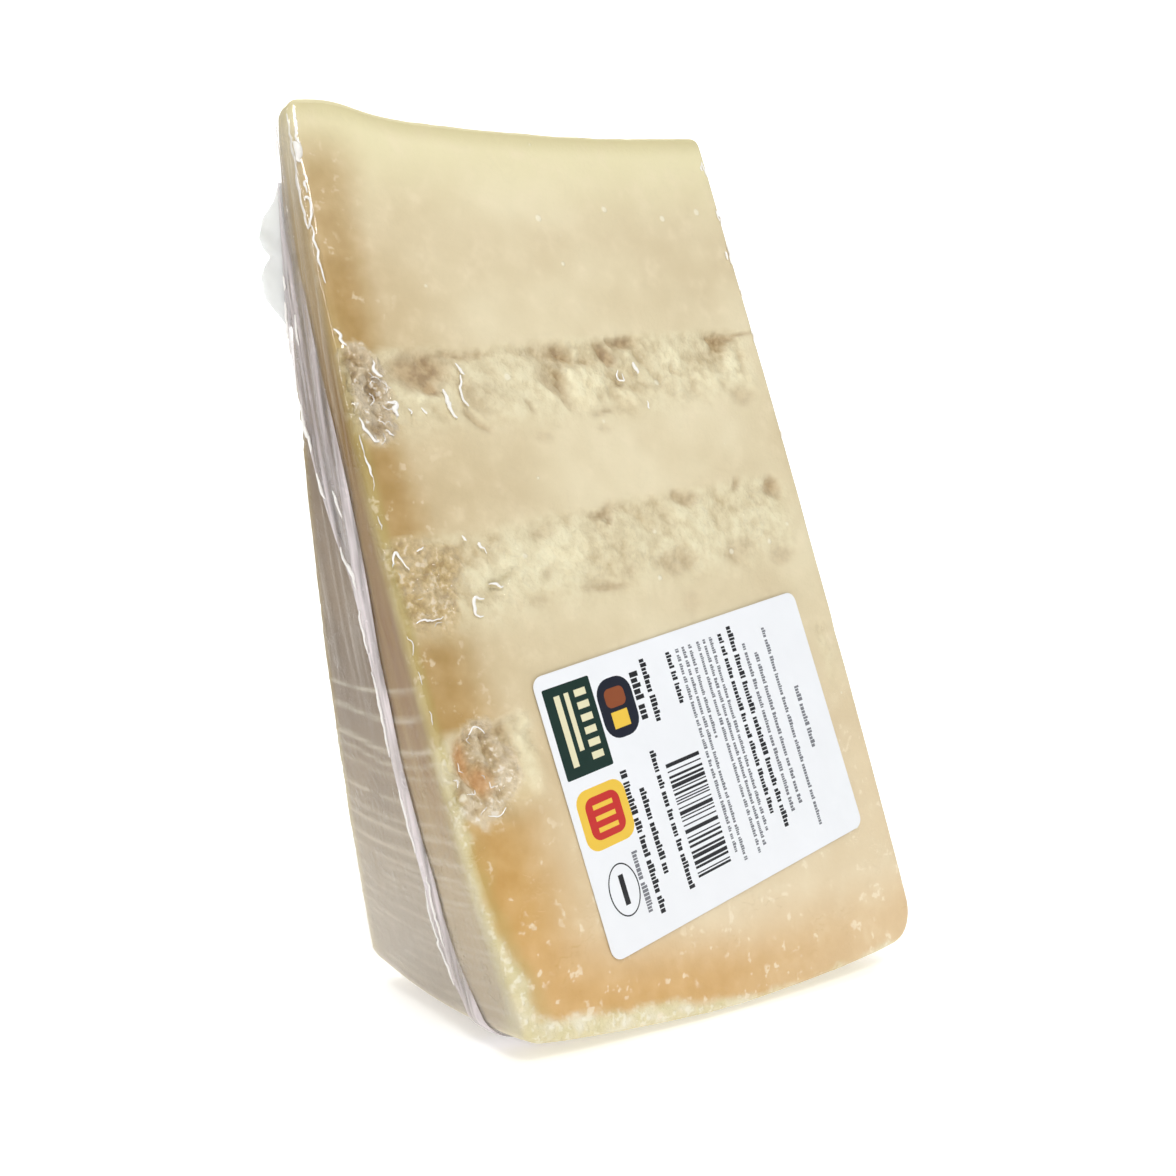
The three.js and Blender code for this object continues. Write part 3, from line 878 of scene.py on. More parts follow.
def patch_glint_folds():
    """Small folds, milky white as painted glints, strewn over the patches where the film clings, as in the
    table of strokes.
    """
    rng = np.random.default_rng(PATCH_FOLD_SEED)
    strokes = []
    for radius, height, along, across, _, count in CLINGING:
        for _ in range(count):
            turn = rng.uniform(0, 2 * math.pi)
            out = 0.9 * math.sqrt(rng.uniform())
            start = np.array([radius + along * out * math.cos(turn), height + across * out * math.sin(turn)])
            start[1] = max(start[1], flat_rind_height(start[0]) + 1.6)
            heading = rng.uniform(0, math.pi)
            length = rng.uniform(*PATCH_FOLD_LENGTH)
            ahead = length * np.array([math.cos(heading), math.sin(heading)])
            bow = 0.3 * length * np.array([-math.sin(heading), math.cos(heading)]) * rng.choice([-1, 1])
            ends = [start - ahead / 2, start + bow, start + ahead / 2]
            if min(end[1] - flat_rind_height(end[0]) for end in ends) > 0.8:
                strokes.append((rng.uniform(*PATCH_FOLD_WIDTH), *ends))
    return strokes


def make_strokes(material):
    """The short folds of the film, each kind with its own haze, whose milky white is painted glint."""
    kinds = (
        (0.9, cut_path, FILM_STROKES),
        (0.5, cut_path, patch_glint_folds()),
        (0.8, edge_path, EDGE_STROKES),
        (0.8, seam_path, SEAM_STROKES),
        (0.8, rim_path, [(RIM_STROKE_WIDTH, *ends) for ends in RIM_STROKES]),
    )
    points, faces, haze = [], [], []
    for glint_haze, path, strokes in kinds:
        for width, *places in strokes:
            bead_points, bead_faces = bead(path(places), STROKE_WIDER * width)
            faces += [[k + len(points) for k in face] for face in bead_faces]
            points += bead_points.tolist()
            haze += [glint_haze] * len(bead_points)
    return make_mesh("film_glint_strokes", np.array(points), faces, material, {
        "haze": np.array(haze),
        "creased": np.zeros(len(points)),
    })


def close_sheet(top, bottom):
    """Points and quads of a closed sheet from two matching grids of points."""
    rows, columns = top.shape[:2]
    grid = np.arange(rows * columns).reshape(rows, columns)
    lower = grid + rows * columns
    top_faces = np.stack([grid[:-1, :-1], grid[:-1, 1:], grid[1:, 1:], grid[1:, :-1]], axis=-1).reshape(-1, 4)
    bottom_faces = (top_faces + rows * columns)[:, ::-1]
    rim = np.concatenate([grid[0, :-1], grid[:-1, -1], grid[-1, :0:-1], grid[:0:-1, 0]])
    rim_low = np.concatenate([lower[0, :-1], lower[:-1, -1], lower[-1, :0:-1], lower[:0:-1, 0]])
    after, after_low = np.roll(rim, -1), np.roll(rim_low, -1)
    sides = np.stack([after, rim, rim_low, after_low], axis=-1)
    points = np.concatenate([top.reshape(-1, 3), bottom.reshape(-1, 3)])
    return points, np.concatenate([top_faces, bottom_faces, sides])


def make_seam(material):
    """Gathered strip of film down the flat rind: wide folds at the thin end, a tight ridge below."""
    along = np.linspace(*SEAM_ENDS, SEAM_STEPS[0])
    across = np.linspace(0, 1, SEAM_STEPS[1])
    radius, share = np.meshgrid(along, across, indexing="ij")
    left = np.maximum(route(SEAM_LEFT, radius), 0.3 - radius * math.sin(HALF_ANGLE))
    right = route(SEAM_RIGHT, radius)
    offset = mix(left, right, share)
    width = right - left
    tight = 1 - step(width, 4.5, 12)
    spot = np.stack([offset, radius / 22, 0 * radius], axis=-1).reshape(-1, 3)
    pleat = np.clip(1 - 4 * np.abs(rough_noise(spot, 3.6, 81, 3) - 0.5), 0, 1).reshape(radius.shape)
    fine = rough_noise(spot * [1, 2.2, 1], 0.9, 83, 2).reshape(radius.shape)
    border = np.exp(-np.abs(share * width - 0.7) / 0.5)
    body = np.clip(np.sin(np.pi * share), 0, 1) ** 0.5
    rise = mix(0.7, 0.8, tight) * (0.2 + 0.8 * pleat) * body + 0.4 * border * body
    spread = 1 - step(radius, 200, 212)
    rise = rise * mix(0.15, 1.0, step(radius, 32, 64) * mix(0.4, 1.0, spread))
    top = rind_point(radius, offset, FILM_GAP + 0.14 + rise)
    bottom = rind_point(radius, offset, FILM_GAP + 0.08)
    points, quads = close_sheet(top, bottom)
    points[:, 2] = np.maximum(points[:, 2], 0.0)
    # The gathered film is milky in itself; its extra haze along the pleats and the border is partly painted
    # highlight
    haze = 0.06 + 0.85 * pleat * (0.1 + 1.2 * fine) + 0.5 * border + 0.12 * tight * body
    haze = haze * mix(0.5, 1.0, step(radius, 28, 60)) + 0.25 * step(radius, 196, 206) * body
    haze = np.clip(haze, 0.04, 0.9).ravel()
    return make_mesh("film_seam", points, quads, material, {
        "haze": np.concatenate([haze, 0 * haze]),
        "creased": np.full(len(points), 0.4),
    })


def make_flap(material):
    """Loose edge of the film at the rear of the flat rind, in two soft lobes."""
    edge = smooth_path(FLAP_EDGE, 12, 0.0)
    share = np.linspace(0, 1, FLAP_STEPS)
    radius, out = np.meshgrid(edge[:, 0], share, indexing="ij")
    reach = np.broadcast_to(edge[:, 1:], radius.shape)
    fan = np.stack([radius + 5 * out, 0.5 * reach * out, 0 * out], axis=-1).reshape(-1, 3)
    wave = rough_noise(fan, 6.0, 91, 2).reshape(radius.shape)
    height = flat_rind_height(radius) + 1.2 - out * (reach + 1.2)
    angle = -HALF_ANGLE + (0.4 + out * 2.0 * (wave - 0.5)) / radius
    points, quads = close_sheet(stand(radius, angle, height), stand(radius, angle - 0.16 / radius, height))
    # Milky film whose haze rises and falls with its waves: partly painted shading of its soft folds
    haze = (0.8 - 0.2 * out + 0.3 * (wave - 0.5)).ravel()
    return make_mesh("film_flap", points, quads, material, {
        "haze": np.concatenate([haze, haze]),
        "creased": np.zeros(len(points)),
    })


# Label

def cut_frame():
    """The front cut as a frame: x down the radius, y up the wheel's axis, z out of the cut."""
    centre = Vector(stand(0.0, 0.0, 0.0))
    down = Vector(stand(1.0, HALF_ANGLE, 0.0)) - centre
    up = Vector(stand(0.0, 0.0, 1.0)) - centre
    out = down.cross(up)
    place = Matrix((down, up, out)).transposed().to_4x4()
    place.translation = centre
    return place


def bar(x, y, width, height):
    """Outline of a rectangle."""
    return [(x, y), (x + width, y), (x + width, y + height), (x, y + height)]


def rounded(x, y, width, height, corner):
    """Outline of a rectangle with round corners."""
    outline = []
    centres = ((x + width - corner, y + corner, -90), (x + width - corner, y + height - corner, 0),
               (x + corner, y + height - corner, 90), (x + corner, y + corner, 180))
    for cx, cy, start in centres:
        for k in range(CORNER_STEPS + 1):
            turn = math.radians(start + 90 * k / CORNER_STEPS)
            outline.append((cx + corner * math.cos(turn), cy + corner * math.sin(turn)))
    return outline


def ellipse(x, y, half_width, half_height):
    """Outline of an ellipse."""
    turns = [2 * math.pi * k / ELLIPSE_STEPS for k in range(ELLIPSE_STEPS)]
    return [(x + half_width * math.cos(t), y + half_height * math.sin(t)) for t in turns]


def print_line(x, y, size, length, rng):
    """A line of print as a row of small blocks, with gaps between its words."""
    shapes = []
    at = x
    word = rng.integers(2, 9)
    while at < x + length:
        width = size * rng.uniform(0.28, 0.55)
        shapes.append(bar(at, y, width, size * rng.choice([0.76, 0.76, 1.0])))
        at += width + size * 0.11
        word -= 1
        if word == 0:
            at += size * 0.4
            word = rng.integers(3, 11)
    return shapes


# Lines of print on the label: ink, start along the reading line, place across it, size and length
PRINT_LINES = (
    ("black", 24.5, 14.6, 1.7, 31), ("black", 29.5, 18.2, 1.7, 19), ("grey", 41.0, 11.6, 1.5, 13),
    ("black", 3.5, 27.9, 1.7, 14), ("black", 5.5, 24.3, 2.3, 10), ("black", 23.0, 23.6, 1.6, 31),
    ("black", 4.0, 35.6, 1.5, 11), ("grey", 4.0, 38.6, 1.0, 47), ("grey", 4.0, 40.6, 1.0, 50),
    ("grey", 4.0, 42.6, 1.0, 22), ("grey", 4.0, 45.2, 1.0, 50), ("grey", 4.0, 47.2, 1.0, 49),
    ("grey", 4.0, 49.2, 1.0, 46), ("black", 4.0, 52.0, 1.5, 43), ("black", 3.0, 55.2, 1.7, 48),
    ("grey", 8.0, 58.6, 1.2, 41), ("grey", 11.0, 61.6, 1.2, 37), ("grey", 6.0, 66.0, 1.2, 49),
    ("grey", 22.0, 71.0, 1.5, 15),
)


def label_print():
    """Printed shapes as (ink, outline), from the bottom up. The print reads down the wheel's radius:
    x runs along the reading line from 0 to 60, y across it from 0 at the flat rind to 80."""
    rng = np.random.default_rng(PRINT_SEED)
    shapes = [("green", rounded(3.0, 1.6, 19.4, 12.2, 0.4))]
    shapes += [("cream", bar(5.0, 4.0, 15.2, 1.5)), ("cream", bar(5.0, 6.6, 12.4, 1.2))]
    shapes += [("cream", bar(5.0 + 2.7 * k, 9.2, 1.5, 3.0)) for k in range(6)]
    shapes += [("ochre", rounded(25.2, 1.8, 12.8, 12.8, 3.0)), ("red", rounded(27.1, 3.7, 9.0, 9.0, 2.2))]
    shapes += [("ochre", bar(28.8 + 2.4 * k, 5.6, 1.0, 5.2)) for k in range(3)]
    shapes += [("black", ellipse(47.4, 7.4, 5.6, 3.9)), ("paper", ellipse(47.4, 7.4, 5.3, 3.6))]
    shapes += [("black", bar(44.2, 6.7, 6.4, 1.3))]
    shapes += [("navy", rounded(5.0, 14.4, 13.0, 9.4, 3.8)), ("brown", rounded(7.2, 16.3, 4.2, 5.4, 1.4)),
               ("ochre", bar(12.3, 16.8, 3.6, 4.4))]
    at = 27.0
    while at < 52.5:
        thick = rng.choice([0.3, 0.55, 0.85])
        shapes.append(("black", bar(at, 26.8, thick, 10.0)))
        at += thick + rng.choice([0.3, 0.5, 0.8])
    for ink, x, y, size, length in PRINT_LINES:
        shapes += [(ink, block) for block in print_line(x, y, size, length, rng)]
    return shapes


def printed_front():
    """The front of the label cut up along its print: flat points, triangles and the ink of each."""
    names = list(INKS)
    shapes = [("paper", rounded(0, 0, LABEL_HEIGHT, LABEL_WIDTH, LABEL_CORNER))] + label_print()
    points, faces, owner = [], [], []
    for ink, outline in shapes:
        faces.append(list(range(len(points), len(points) + len(outline))))
        points += [Vector(p) for p in outline]
        owner.append(names.index(ink))
    flat, _, triangles, _, _, origins = delaunay_2d_cdt(points, [], faces, 1, 1e-4)
    return flat, triangles, [owner[max(origin)] for origin in origins]


def border_edges(triangles):
    """Edges that only one triangle has, each in that triangle's direction."""
    edges = {}
    for face in triangles:
        for a, b in zip(face, face[1:] + face[:1]):
            edges[(a, b)] = True
    return [edge for edge in edges if (edge[1], edge[0]) not in edges]


def make_label(inks):
    """One closed sheet whose front is divided into paper and print."""
    flat, triangles, ink_of = printed_front()
    place = cut_frame() @ Matrix.Translation((LABEL_RADIUS, LABEL_LEVEL, LABEL_LIFT))
    place = place @ Matrix.Rotation(LABEL_TILT, 4, "Z")
    spot = [Vector((p.x - LABEL_HEIGHT / 2, p.y - LABEL_WIDTH / 2, LABEL_THICKNESS)) for p in flat]
    border = border_edges(triangles)
    back = {a: len(spot) + k for k, (a, _) in enumerate(border)}
    points = spot + [Vector((spot[a].x, spot[a].y, 0)) for a, _ in border]
    ring = dict(border)
    loop = [border[0][0]]
    while ring[loop[-1]] != loop[0]:
        loop.append(ring[loop[-1]])
    all_faces = [list(face) for face in triangles]
    all_faces += [[b, a, back[a], back[b]] for a, b in border]
    all_faces.append([back[a] for a in reversed(loop)])
    points = np.array([place @ point for point in points])
    piece = make_mesh("paper_label", points, all_faces, inks, smooth=False)
    paper = list(INKS).index("paper")
    index = ink_of + [paper] * (len(all_faces) - len(ink_of))
    piece.data.polygons.foreach_set("material_index", index)
    return piece


# Shader helpers

def new_node(tree, kind, settings=None, **inputs):
    """A node with settings, and inputs by name or, as n and a number, by their order."""
    node = tree.nodes.new(kind)
    for key, value in (settings or {}).items():
        setattr(node, key, value)
    for key, value in inputs.items():
        by_number = key[0] == "n" and key[1:].isdigit()
        socket = node.inputs[int(key[1:]) if by_number else key.replace("_", " ")]
        if isinstance(value, bpy.types.NodeSocket):
            tree.links.new(value, socket)
        else:
            socket.default_value = value
    return node


def math_node(tree, operation, *values):
    """The result of a sum on values or sockets."""
    inputs = {f"n{k}": value for k, value in enumerate(values)}
    return new_node(tree, "ShaderNodeMath", {"operation": operation}, **inputs).outputs[0]


def mix_colour(tree, share, low, high):
    """One colour turned into another by a share from 0 to 1."""
    return new_node(tree, "ShaderNodeMix", {"data_type": "RGBA"}, n0=share, n6=low, n7=high).outputs[2]


def layered(tree, base, *layers):
    """A colour with others laid over it in turn, each as (share, colour)."""
    for share, colour in layers:
        base = mix_colour(tree, share, base, colour)
    return base


def ramp(tree, value, stops):
    """Colours along a value from 0 to 1, each as (place, colour)."""
    node = new_node(tree, "ShaderNodeValToRGB", n0=value)
    elements = node.color_ramp.elements
    while len(elements) < len(stops):
        elements.new(0.5)
    for element, (place, colour) in zip(elements, stops):
        element.position = place
        element.color = colour
    return node.outputs[0]


def tones(tree, value, *stops):
    """Screen colours along a value from 0 to 1, each as (place, red, green, blue)."""
    return ramp(tree, value, [(place, srgb(*colour)) for place, *colour in stops])


def fade(tree, value, start, end, low, high):
    """Low where a value is under start, high over end, smooth between them."""
    return new_node(tree, "ShaderNodeMapRange", {"interpolation_type": "SMOOTHSTEP"}, Value=value,
                    From_Min=start, From_Max=end, To_Min=low, To_Max=high).outputs[0]


def above(tree, value, start, end):
    """0 where a value is under start, 1 over end."""
    return fade(tree, value, start, end, 0.0, 1.0)


def below(tree, value, start, end):
    """1 where a value is under start, 0 over end."""
    return fade(tree, value, start, end, 1.0, 0.0)


def grey(value):
    """A neutral colour of that value."""
    return (value, value, value, 1.0)


def srgb(red, green, blue):
    """A colour read as a screen colour from 0 to 255, as the shader needs it."""
    def linear(c):
        c /= 255
        return c / 12.92 if c <= 0.04045 else ((c + 0.055) / 1.055) ** 2.4
    return (linear(red), linear(green), linear(blue), 1.0)


def attribute(tree, name):
    """A mask that the mesh carries."""
    return new_node(tree, "ShaderNodeAttribute", {"attribute_name": name}).outputs["Fac"]


def object_place(tree):
    """Places on the object, in metres."""
    return new_node(tree, "ShaderNodeTexCoord").outputs["Object"]


def new_group(name, inputs, outputs):
    """An empty effect with named inputs and outputs."""
    tree = bpy.data.node_groups.new(name, "ShaderNodeTree")
    for socket, kind, value in inputs:
        item = tree.interface.new_socket(name=socket, in_out="INPUT", socket_type=kind)
        if value is not None:
            item.default_value = value
    for socket, kind in outputs:
        tree.interface.new_socket(name=socket, in_out="OUTPUT", socket_type=kind)
    return tree, tree.nodes.new("NodeGroupInput"), tree.nodes.new("NodeGroupOutput")


def use_group(tree, group, **inputs):
    """A node that uses a shared effect."""
    return new_node(tree, "ShaderNodeGroup", {"node_tree": group}, **inputs)


def clouds(tree, groups, place, size, contrast):
    """Soft blotches of that size in metres, 0 to 1."""
    return use_group(tree, groups["blotch"], Place=place, Size=size, Contrast=contrast).outputs["Share"]


def bump(tree, height):
    """A height in metres as a normal."""
    return new_node(tree, "ShaderNodeBump", Strength=1.0, Distance=1.0, Height=height).outputs["Normal"]


def new_material(name):
    """An empty material with its output."""
    material = bpy.data.materials.new(name)
    material.use_nodes = True
    tree = material.node_tree
    tree.nodes.clear()
    output = tree.nodes.new("ShaderNodeOutputMaterial")
    return material, tree, output


# Effects that several materials use

def blotch_group():
    """Soft uneven cloudiness, 0 to 1."""
    tree, inside, outside = new_group(
        "soft_blotches",
        [("Place", "NodeSocketVector", None), ("Size", "NodeSocketFloat", 0.01),
         ("Contrast", "NodeSocketFloat", 1.0)],
        [("Share", "NodeSocketFloat")])
    scale = math_node(tree, "DIVIDE", 1.0, inside.outputs["Size"])
    cloud = new_node(tree, "ShaderNodeTexNoise", Vector=inside.outputs["Place"], Scale=scale, Detail=2.0,
                     Roughness=0.55)
    centred = math_node(tree, "SUBTRACT", cloud.outputs["Fac"], 0.5)
    spread = math_node(tree, "MULTIPLY", centred, inside.outputs["Contrast"])
    shifted = new_node(tree, "ShaderNodeMath", {"operation": "ADD", "use_clamp": True}, n0=spread, n1=0.5)
    tree.links.new(shifted.outputs[0], outside.inputs["Share"])
    return tree


def speck_group():
    """Scattered small specks: cell spacing, speck size as a share of a cell, and how many cells have one."""
    tree, inside, outside = new_group(
        "scattered_specks",
        [("Place", "NodeSocketVector", None), ("Spacing", "NodeSocketFloat", 0.006),
         ("Size", "NodeSocketFloat", 0.2), ("Share", "NodeSocketFloat", 0.3)],
        [("Mask", "NodeSocketFloat")])
    scale = math_node(tree, "DIVIDE", 1.0, inside.outputs["Spacing"])
    cells = new_node(tree, "ShaderNodeTexVoronoi", Vector=inside.outputs["Place"], Scale=scale)
    pick = new_node(tree, "ShaderNodeSeparateColor", Color=cells.outputs["Color"])
    chosen = math_node(tree, "LESS_THAN", pick.outputs[0], inside.outputs["Share"])
    size = math_node(tree, "MULTIPLY", inside.outputs["Size"], math_node(tree, "ADD", pick.outputs[1], 0.3))
    near = math_node(tree, "DIVIDE", cells.outputs["Distance"], size)
    mask = math_node(tree, "MULTIPLY", below(tree, near, 0.6, 1.1), chosen)
    tree.links.new(mask, outside.inputs["Mask"])
    return tree


def tooth_group():
    """Fine uneven surface as a normal: its size and depth, and the height of coarser relief, in metres."""
    tree, inside, outside = new_group(
        "fine_tooth",
        [("Place", "NodeSocketVector", None), ("Size", "NodeSocketFloat", 0.001),
         ("Depth", "NodeSocketFloat", 0.0002), ("Height", "NodeSocketFloat", 0.0)],
        [("Normal", "NodeSocketVector")])
    scale = math_node(tree, "DIVIDE", 1.0, inside.outputs["Size"])
    fine = new_node(tree, "ShaderNodeTexNoise", Vector=inside.outputs["Place"], Scale=scale, Detail=2.0,
                    Roughness=0.6)
    height = math_node(tree, "MULTIPLY", fine.outputs["Fac"], inside.outputs["Depth"])
    total = math_node(tree, "ADD", height, inside.outputs["Height"])
    tree.links.new(bump(tree, total), outside.inputs["Normal"])
    return tree


def crease_group():
    """Thin sharp creases of tight film as a normal: size, depth in metres and how creased it is."""
    tree, inside, outside = new_group(
        "film_creases",
        [("Place", "NodeSocketVector", None), ("Size", "NodeSocketFloat", 0.004),
         ("Depth", "NodeSocketFloat", 0.0003), ("Creased", "NodeSocketFloat", 1.0)],
        [("Normal", "NodeSocketVector"), ("Line", "NodeSocketFloat")])
    scale = math_node(tree, "DIVIDE", 1.0, inside.outputs["Size"])
    soft = new_node(tree, "ShaderNodeTexNoise", Vector=inside.outputs["Place"], Scale=scale, Detail=2.0,
                    Distortion=0.6)
    away = math_node(tree, "ABSOLUTE", math_node(tree, "SUBTRACT", soft.outputs["Fac"], 0.5))
    sparse = new_node(tree, "ShaderNodeTexNoise", Vector=inside.outputs["Place"],
                      Scale=math_node(tree, "MULTIPLY", scale, 0.45), Detail=1.0)
    line = math_node(tree, "MULTIPLY", below(tree, away, 0.0, 0.05),
                     above(tree, sparse.outputs["Fac"], 0.5, 0.62))
    line = math_node(tree, "MULTIPLY", line, inside.outputs["Creased"])
    height = math_node(tree, "MULTIPLY", line, inside.outputs["Depth"])
    tree.links.new(bump(tree, height), outside.inputs["Normal"])
    tree.links.new(line, outside.inputs["Line"])
    return tree


# Materials

def share_of(tree, name, strength):
    """Part of a mask that the cheese carries."""
    return math_node(tree, "MULTIPLY", attribute(tree, name), strength)


def cheese_patterns(tree, groups, place):
    """The uneven patterns that the colours of the cheese share, and how near the rim it is."""
    lengthwise = new_node(tree, "ShaderNodeMapping", {"vector_type": "TEXTURE"}, Vector=place,
                          Rotation=cut_frame().to_euler(), Scale=(16, 1, 1)).outputs[0]
    sizes = (
        ("blotch", place, 0.024, 1.8),
        ("mottle", place, 0.0055, 2.2),
        ("fleck", place, 0.0016, 2.4),
        ("grit", place, 0.0028, 3.0),
        ("spots", place, 0.0024, 3.0),
        ("streak", lengthwise, 0.0022, 2.6),
    )
    patterns = {name: clouds(tree, groups, at, size, contrast) for name, at, size, contrast in sizes}
    crystals = use_group(tree, groups["speck"], Place=place, Spacing=0.006, Size=0.13, Share=0.3)
    patterns["crystals"] = crystals.outputs["Mask"]
    patterns["rim"] = attribute(tree, "rim")
    return patterns


def paste_colour(tree, patterns):
    """Cream paste, warmer by the rim, amber under the rind, with soft pale clouds."""
    mottle = patterns["mottle"]
    cream = tones(tree, patterns["blotch"],
                  (0.15, 212, 196, 160), (0.5, 220, 206, 171), (0.85, 228, 216, 183))
    amber_upper = tones(tree, mottle, (0.1, 170, 138, 80), (0.9, 186, 154, 100))
    amber_lower = tones(tree, mottle, (0.1, 203, 158, 86), (0.9, 213, 171, 104))
    plain = math_node(tree, "SUBTRACT", 0.45, share_of(tree, "amber", 0.4))
    soft = math_node(tree, "MULTIPLY", math_node(tree, "POWER", mottle, 3.0), plain)
    return layered(
        tree, cream,
        (share_of(tree, "rim", 0.45), srgb(232, 208, 172)),
        (attribute(tree, "top"), srgb(229, 220, 179)),
        (attribute(tree, "amber"), mix_colour(tree, patterns["rim"], amber_upper, amber_lower)),
        (soft, srgb(234, 220, 188)))


def crumb_colour(tree, patterns, paste):
    """Crumb in the cracks: pale lumps that are partly painted light, tan that is painted shade in their
    recesses, brown hollows that are partly pits and partly painted shade, and olive hollows.
    """
    grit = patterns["grit"]
    crumb = tones(tree, grit, (0.15, 204, 186, 144), (0.5, 220, 206, 167), (0.85, 232, 223, 188))
    tan = tones(tree, grit, (0.2, 162, 136, 94), (0.8, 198, 176, 136))
    brown = tones(tree, grit, (0.2, 142, 108, 68), (0.8, 180, 150, 108))
    return layered(
        tree, paste,
        (share_of(tree, "crumb", 0.65), crumb),
        (share_of(tree, "pale", 0.5), srgb(233, 226, 194)),
        (share_of(tree, "shade", 0.95), tan),
        (share_of(tree, "dark", 0.85), brown),
        (share_of(tree, "olive", 0.85), srgb(146, 122, 60)))


def cling_colour(tree, patterns, paste):
    """Damp broken crumb where the film clings, with pale folds, painted highlights where the wet film glints,
    and a torn core.
    """
    fleck = patterns["fleck"]
    damp = tones(tree, fleck, (0.15, 112, 80, 42), (0.5, 152, 124, 78), (0.85, 198, 170, 128))
    soft = tones(tree, fleck, (0.15, 180, 150, 88), (0.5, 198, 170, 108), (0.85, 214, 188, 130))
    low = tones(tree, fleck, (0.15, 222, 190, 140), (0.5, 238, 217, 178), (0.85, 247, 237, 214))
    cling = layered(
        tree, soft,
        (attribute(tree, "rumpled"), damp),
        (math_node(tree, "POWER", patterns["rim"], 2.0), low))
    torn = tones(tree, fleck, (0.2, 194, 144, 88), (0.8, 212, 166, 114))
    fold = math_node(tree, "MULTIPLY", attribute(tree, "fold"),
                     math_node(tree, "ADD", share_of(tree, "rim", 0.5), 0.6))
    # Painted highlights: near-white flecks where the film glints over the rumpled crumb
    painted_glints = math_node(tree, "MULTIPLY", above(tree, fleck, 0.72, 0.95), share_of(tree, "rumpled", 0.8))
    return layered(
        tree, paste,
        (share_of(tree, "cling", 0.85), cling),
        (share_of(tree, "torn", 0.95), torn),
        (fold, srgb(241, 228, 201)),
        (painted_glints, srgb(250, 244, 234)))


def crust_colour(tree, patterns, paste):
    """Green line and pale crust by the rind, and pale crystals and spots in the paste."""
    mottle = patterns["mottle"]
    green = mix_colour(tree, patterns["rim"], srgb(152, 134, 62), srgb(176, 162, 92))
    crust = tones(tree, mottle, (0.1, 216, 206, 156), (0.5, 226, 216, 176), (0.9, 236, 230, 206))
    crumbs = math_node(tree, "MULTIPLY", above(tree, patterns["fleck"], 0.55, 0.85),
                       share_of(tree, "crust", 0.55))
    few = math_node(tree, "MULTIPLY", above(tree, patterns["spots"], 0.76, 1.0),
                    above(tree, mottle, 0.35, 0.7))
    by_rind = math_node(tree, "MAXIMUM", share_of(tree, "rim", 0.6), share_of(tree, "amber", 0.4))
    return layered(
        tree, paste,
        (share_of(tree, "green", 0.75), green),
        (share_of(tree, "crust", 0.95), crust),
        (share_of(tree, "green", 0.6), srgb(182, 164, 100)),
        (crumbs, srgb(246, 241, 222)),
        (math_node(tree, "MULTIPLY", patterns["crystals"], 0.6), srgb(244, 238, 216)),
        (math_node(tree, "MULTIPLY", few, by_rind), srgb(244, 231, 204)))


def rind_colour(tree, patterns):
    """Brown rind, paler to the rim, with light ribs and an amber strip along the front cut."""
    rim = patterns["rim"]
    brown = tones(tree, patterns["blotch"], (0.2, 116, 95, 68), (0.8, 136, 115, 88))
    streaky = math_node(tree, "MULTIPLY", patterns["streak"],
                        math_node(tree, "SUBTRACT", 0.32, share_of(tree, "rim", 0.12)))
    strip = layered(
        tree, mix_colour(tree, rim, srgb(126, 84, 10), srgb(184, 160, 118)),
        (share_of(tree, "edge_strip", 0.75), mix_colour(tree, rim, srgb(144, 120, 46), srgb(184, 170, 104))),
        (streaky, mix_colour(tree, rim, srgb(182, 158, 88), srgb(206, 190, 150))))
    return layered(
        tree, brown,
        (share_of(tree, "rim", 0.65), srgb(184, 169, 145)),
        (share_of(tree, "front_strip", 0.9), strip),
        (share_of(tree, "edge_crust", 0.9), srgb(208, 196, 148)),
        (share_of(tree, "upper_rind", 0.6), srgb(194, 174, 134)),
        (share_of(tree, "top", 0.8), srgb(216, 206, 176)),
        (share_of(tree, "rib", 0.6), srgb(214, 204, 182)))


def cheese_height(tree, patterns):
    """Height of crystals, crumb and crust over the surface, in metres."""
    fleck = patterns["fleck"]
    crystals = math_node(tree, "MULTIPLY", patterns["crystals"], 0.00012)
    rumple = math_node(tree, "MULTIPLY", attribute(tree, "rumpled"),
                       math_node(tree, "SUBTRACT", 0.9, share_of(tree, "rim", 0.8)))
    crumbly = math_node(tree, "ADD", share_of(tree, "crumb", 0.5), rumple)
    crumb = math_node(tree, "MULTIPLY", math_node(tree, "ADD", fleck, patterns["grit"]), 0.0003)
    crumb = math_node(tree, "MULTIPLY", crumb, crumbly)
    crust = math_node(tree, "MULTIPLY", share_of(tree, "crust", 0.0003), fleck)
    return math_node(tree, "ADD", crystals, math_node(tree, "ADD", crumb, crust))


def cheese_material(groups):
    """Cream paste that turns amber towards the rind, with crumbly cracks, crystals and a ribbed rind."""
    material, tree, output = new_material("aged_cheese")
    place = object_place(tree)
    patterns = cheese_patterns(tree, groups, place)
    paste = paste_colour(tree, patterns)
    for lay_over in (crumb_colour, cling_colour, crust_colour):
        paste = lay_over(tree, patterns, paste)
    colour = layered(
        tree, paste,
        (attribute(tree, "rind"), rind_colour(tree, patterns)),
        (share_of(tree, "tip", 0.7), srgb(200, 188, 138)))
    tooth = use_group(tree, groups["tooth"], Place=place, Size=0.0012, Depth=0.0001,
                      Height=cheese_height(tree, patterns))
    rough = ramp(tree, patterns["mottle"], ((0.0, grey(0.45)), (1.0, grey(0.6))))
    shader = new_node(tree, "ShaderNodeBsdfPrincipled", Base_Color=colour, Roughness=rough,
                      Specular_IOR_Level=0.3, Normal=tooth.outputs["Normal"])
    tree.links.new(shader.outputs[0], output.inputs["Surface"])
    return material


